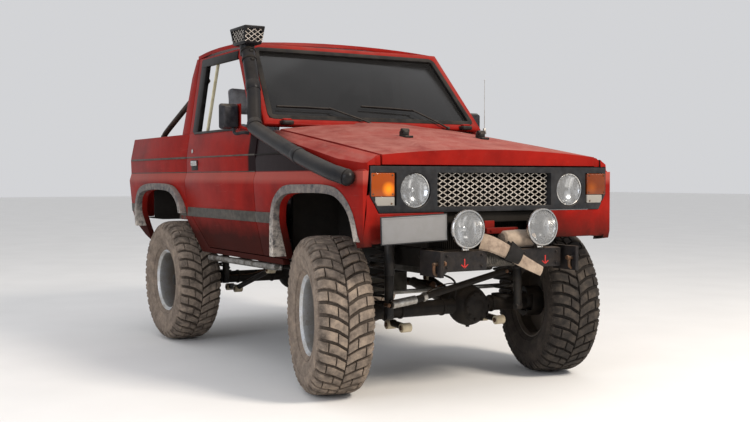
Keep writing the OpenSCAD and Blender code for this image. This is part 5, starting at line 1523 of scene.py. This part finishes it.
CUSHION = [(-0.400, 0.900), (0.060, 0.905), (0.066, 1.020), (-0.385, 1.000)]
BACK = [(-0.405, 1.050), (-0.330, 1.052), (-0.452, 1.568), (-0.522, 1.562)]
HEADREST = [(-0.478, 1.622), (-0.506, 1.798), (-0.576, 1.790), (-0.552, 1.614)]
for name, side in (("right", -1), ("left", 1)):
    cushion = pad("seat_cushion_" + name, CUSHION, (0.150, 0.580), side, 0.009, 5)
    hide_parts(*(["seats"] if side < 0 else []))
    pad("seat_back_" + name, BACK, (0.192, 0.598), side, 0.009, 5)
    pad("headrest_" + name, HEADREST, (0.318, 0.562), side, 0.007, 0)
    bm = bmesh.new()
    for y in (0.38, 0.50):
        rod(bm, (-0.500, side * y, 1.54), (-0.520, side * y, 1.63), 0.006, None, 14)
    lump(bm, (-0.39, side * 0.17, 0.880), (0.05, side * 0.56, 0.896), 0.006)
    for y in (0.20, 0.53):
        lump(bm, (-0.38, side * y - 0.014, 0.719), (0.04, side * y + 0.014, 0.742), 0.004)
        for x in (-0.34, -0.02):
            rod(bm, (x, side * y, 0.738), (x + 0.02, side * y, 0.886), 0.011, None, 14)
    rod(bm, (-0.40, side * 0.19, 0.94), (-0.40, side * 0.55, 0.94), 0.010, None, 14)
    piece("seat_frame_" + name, bm, chassis_enamel)


# Bonnet fittings: wipers, hinge covers, rubber stops and aerial.
# Pressed steel arms with rubber blades, painted black; the aerial is a stainless whip.
arm_paint = weathered("dull_black_wiper_paint", "#161616", "#2a2725", "#6e6459", patch=0.02, rough=(0.4, 0.7),
                      on_top=0.4)
lean_out = Vector((math.cos(RAKE), 0, math.sin(RAKE)))


def on_glass(y, up, out=0.0):
    """A point on the windscreen's plane, `up` metres along its slope."""
    return SCREEN_LEAN @ Vector((0, y, up)) + lean_out * out


bm, blades = bmesh.new(), bmesh.new()
for pivot, elbow, tip, lift, drop in ((-0.022, -0.325, -0.680, 0.132, 0.128), (0.513, 0.290, -0.083, 0.159, 0.141)):
    start, end = on_glass(pivot, -0.012, 0.012), on_glass(elbow, drop, 0.020)
    rod(bm, start - lean_out * 0.03, start + lean_out * 0.014, 0.013, 0.010, 20, 0.002)
    tube(bm, [start + lean_out * 0.006, start + (end - start) * 0.3 + lean_out * 0.008, end], 0.0055, 10)
    a, b = on_glass(tip, lift, 0.016), on_glass(elbow + 0.02, drop - 0.002, 0.016)
    tube(bm, [a, (a + b) / 2 + lean_out * 0.004, b], 0.0042, 8)
    tube(blades, [a - lean_out * 0.007, (a + b) / 2 - lean_out * 0.007, b - lean_out * 0.007], 0.0035, 8)
piece("wiper_arms", bm, arm_paint)
piece("wiper_blades", blades, seal_rubber)
bm, caps = bmesh.new(), bmesh.new()
for side in (-1, 1):
    # Hinge covers on the cowl: black base with a scraped red cap
    base = Vector((MID_X + 0.446, side * 0.655, 1.502))
    lump(bm, base - Vector((0.030, 0.036, 0.014)), base + Vector((0.030, 0.036, 0.012)), 0.008, 3)
    lump(caps, base + Vector((-0.020, -0.030, 0.008)), base + Vector((0.020, 0.026, 0.024)), 0.007, 3)
piece("cowl_hinge_covers", bm, arm_paint)
piece("cowl_hinge_caps", caps, side_red)
bm = bmesh.new()
for side in (-1, 1):
    # Rubber stops that the folded screen would rest on
    foot = Vector((MID_X + 1.148, side * 0.263, 1.400))
    lump(bm, foot - Vector((0.056, 0.026, 0.008)), foot + Vector((0.050, 0.026, 0.005)), 0.003)
    lump(bm, foot - Vector((0.034, 0.019, 0.0)), foot + Vector((0.022, 0.019, 0.036)), 0.010, 3)
    rod(bm, foot + Vector((0.002, -0.024, 0.034)), foot + Vector((0.002, 0.024, 0.034)), 0.013, None, 18, 0.003)
piece("screen_rest_stops", bm, arm_paint, "hood")
bm = bmesh.new()
foot = Vector((MID_X + 0.534, 0.745, 1.478))
rod(bm, foot - Vector((0, 0, 0.02)), foot + Vector((0, 0, 0.020)), 0.014, 0.008, 20, 0.002)
rod(bm, foot + Vector((0, 0, 0.018)), foot + Vector((0, 0, 0.335)), 0.0022, 0.0014, 8)
rod(bm, foot + Vector((0, 0, 0.332)), foot + Vector((0, 0, 0.339)), 0.003, None, 10, 0.001)
piece("aerial_whip", bm, zinc_plate)


# Tail: a plain drawbar with its hitch hole, and upright tail lamps at the corners.
# Folded plate in chipped black paint; lamp lenses are moulded red, amber and clear acrylic.
bm = soften(merged("rear_bumper"), 0.005, 3)
for y in (-0.34, -0.08, 0.08, 0.34):
    hexagon(bm, (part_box("rear_bumper")[0].x, y, 0.740), (-1, 0, 0), 0.008, 0.006)
piece("rear_drawbar", bm, bumper_paint, replaces=["rear_bumper"])
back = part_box("side_panels")[0].x
tail_red = acrylic("moulded_red_acrylic", "#5e0806", "#b01a14", (back, -0.74, 1.20))
tail_amber = acrylic("moulded_amber_tail_acrylic", "#b05a0c", "#e8941e", (back, -0.74, 1.12))
for name, side in (("right", -1), ("left", 1)):
    bm = bmesh.new()
    spot = Vector((back + 0.012, side * 0.742, 1.14))
    lump(bm, spot - Vector((0.0075, 0.050, 0.130)), spot + Vector((0.012, 0.050, 0.130)), 0.006, 3)
    piece("tail_lamp_base_" + name, bm, abs_panel)
    for part, low_z, high_z, lens in (("red", 1.165, 1.262, tail_red), ("amber", 1.082, 1.163, tail_amber),
                                      ("clear", 1.018, 1.080, clear_acrylic)):
        bm = lump(bmesh.new(), (back + 0.0005, spot.y - 0.044, low_z), (back + 0.010, spot.y + 0.044, high_z), 0.003,
                  3)
        piece("tail_lens_" + part + "_" + name, bm, lens)
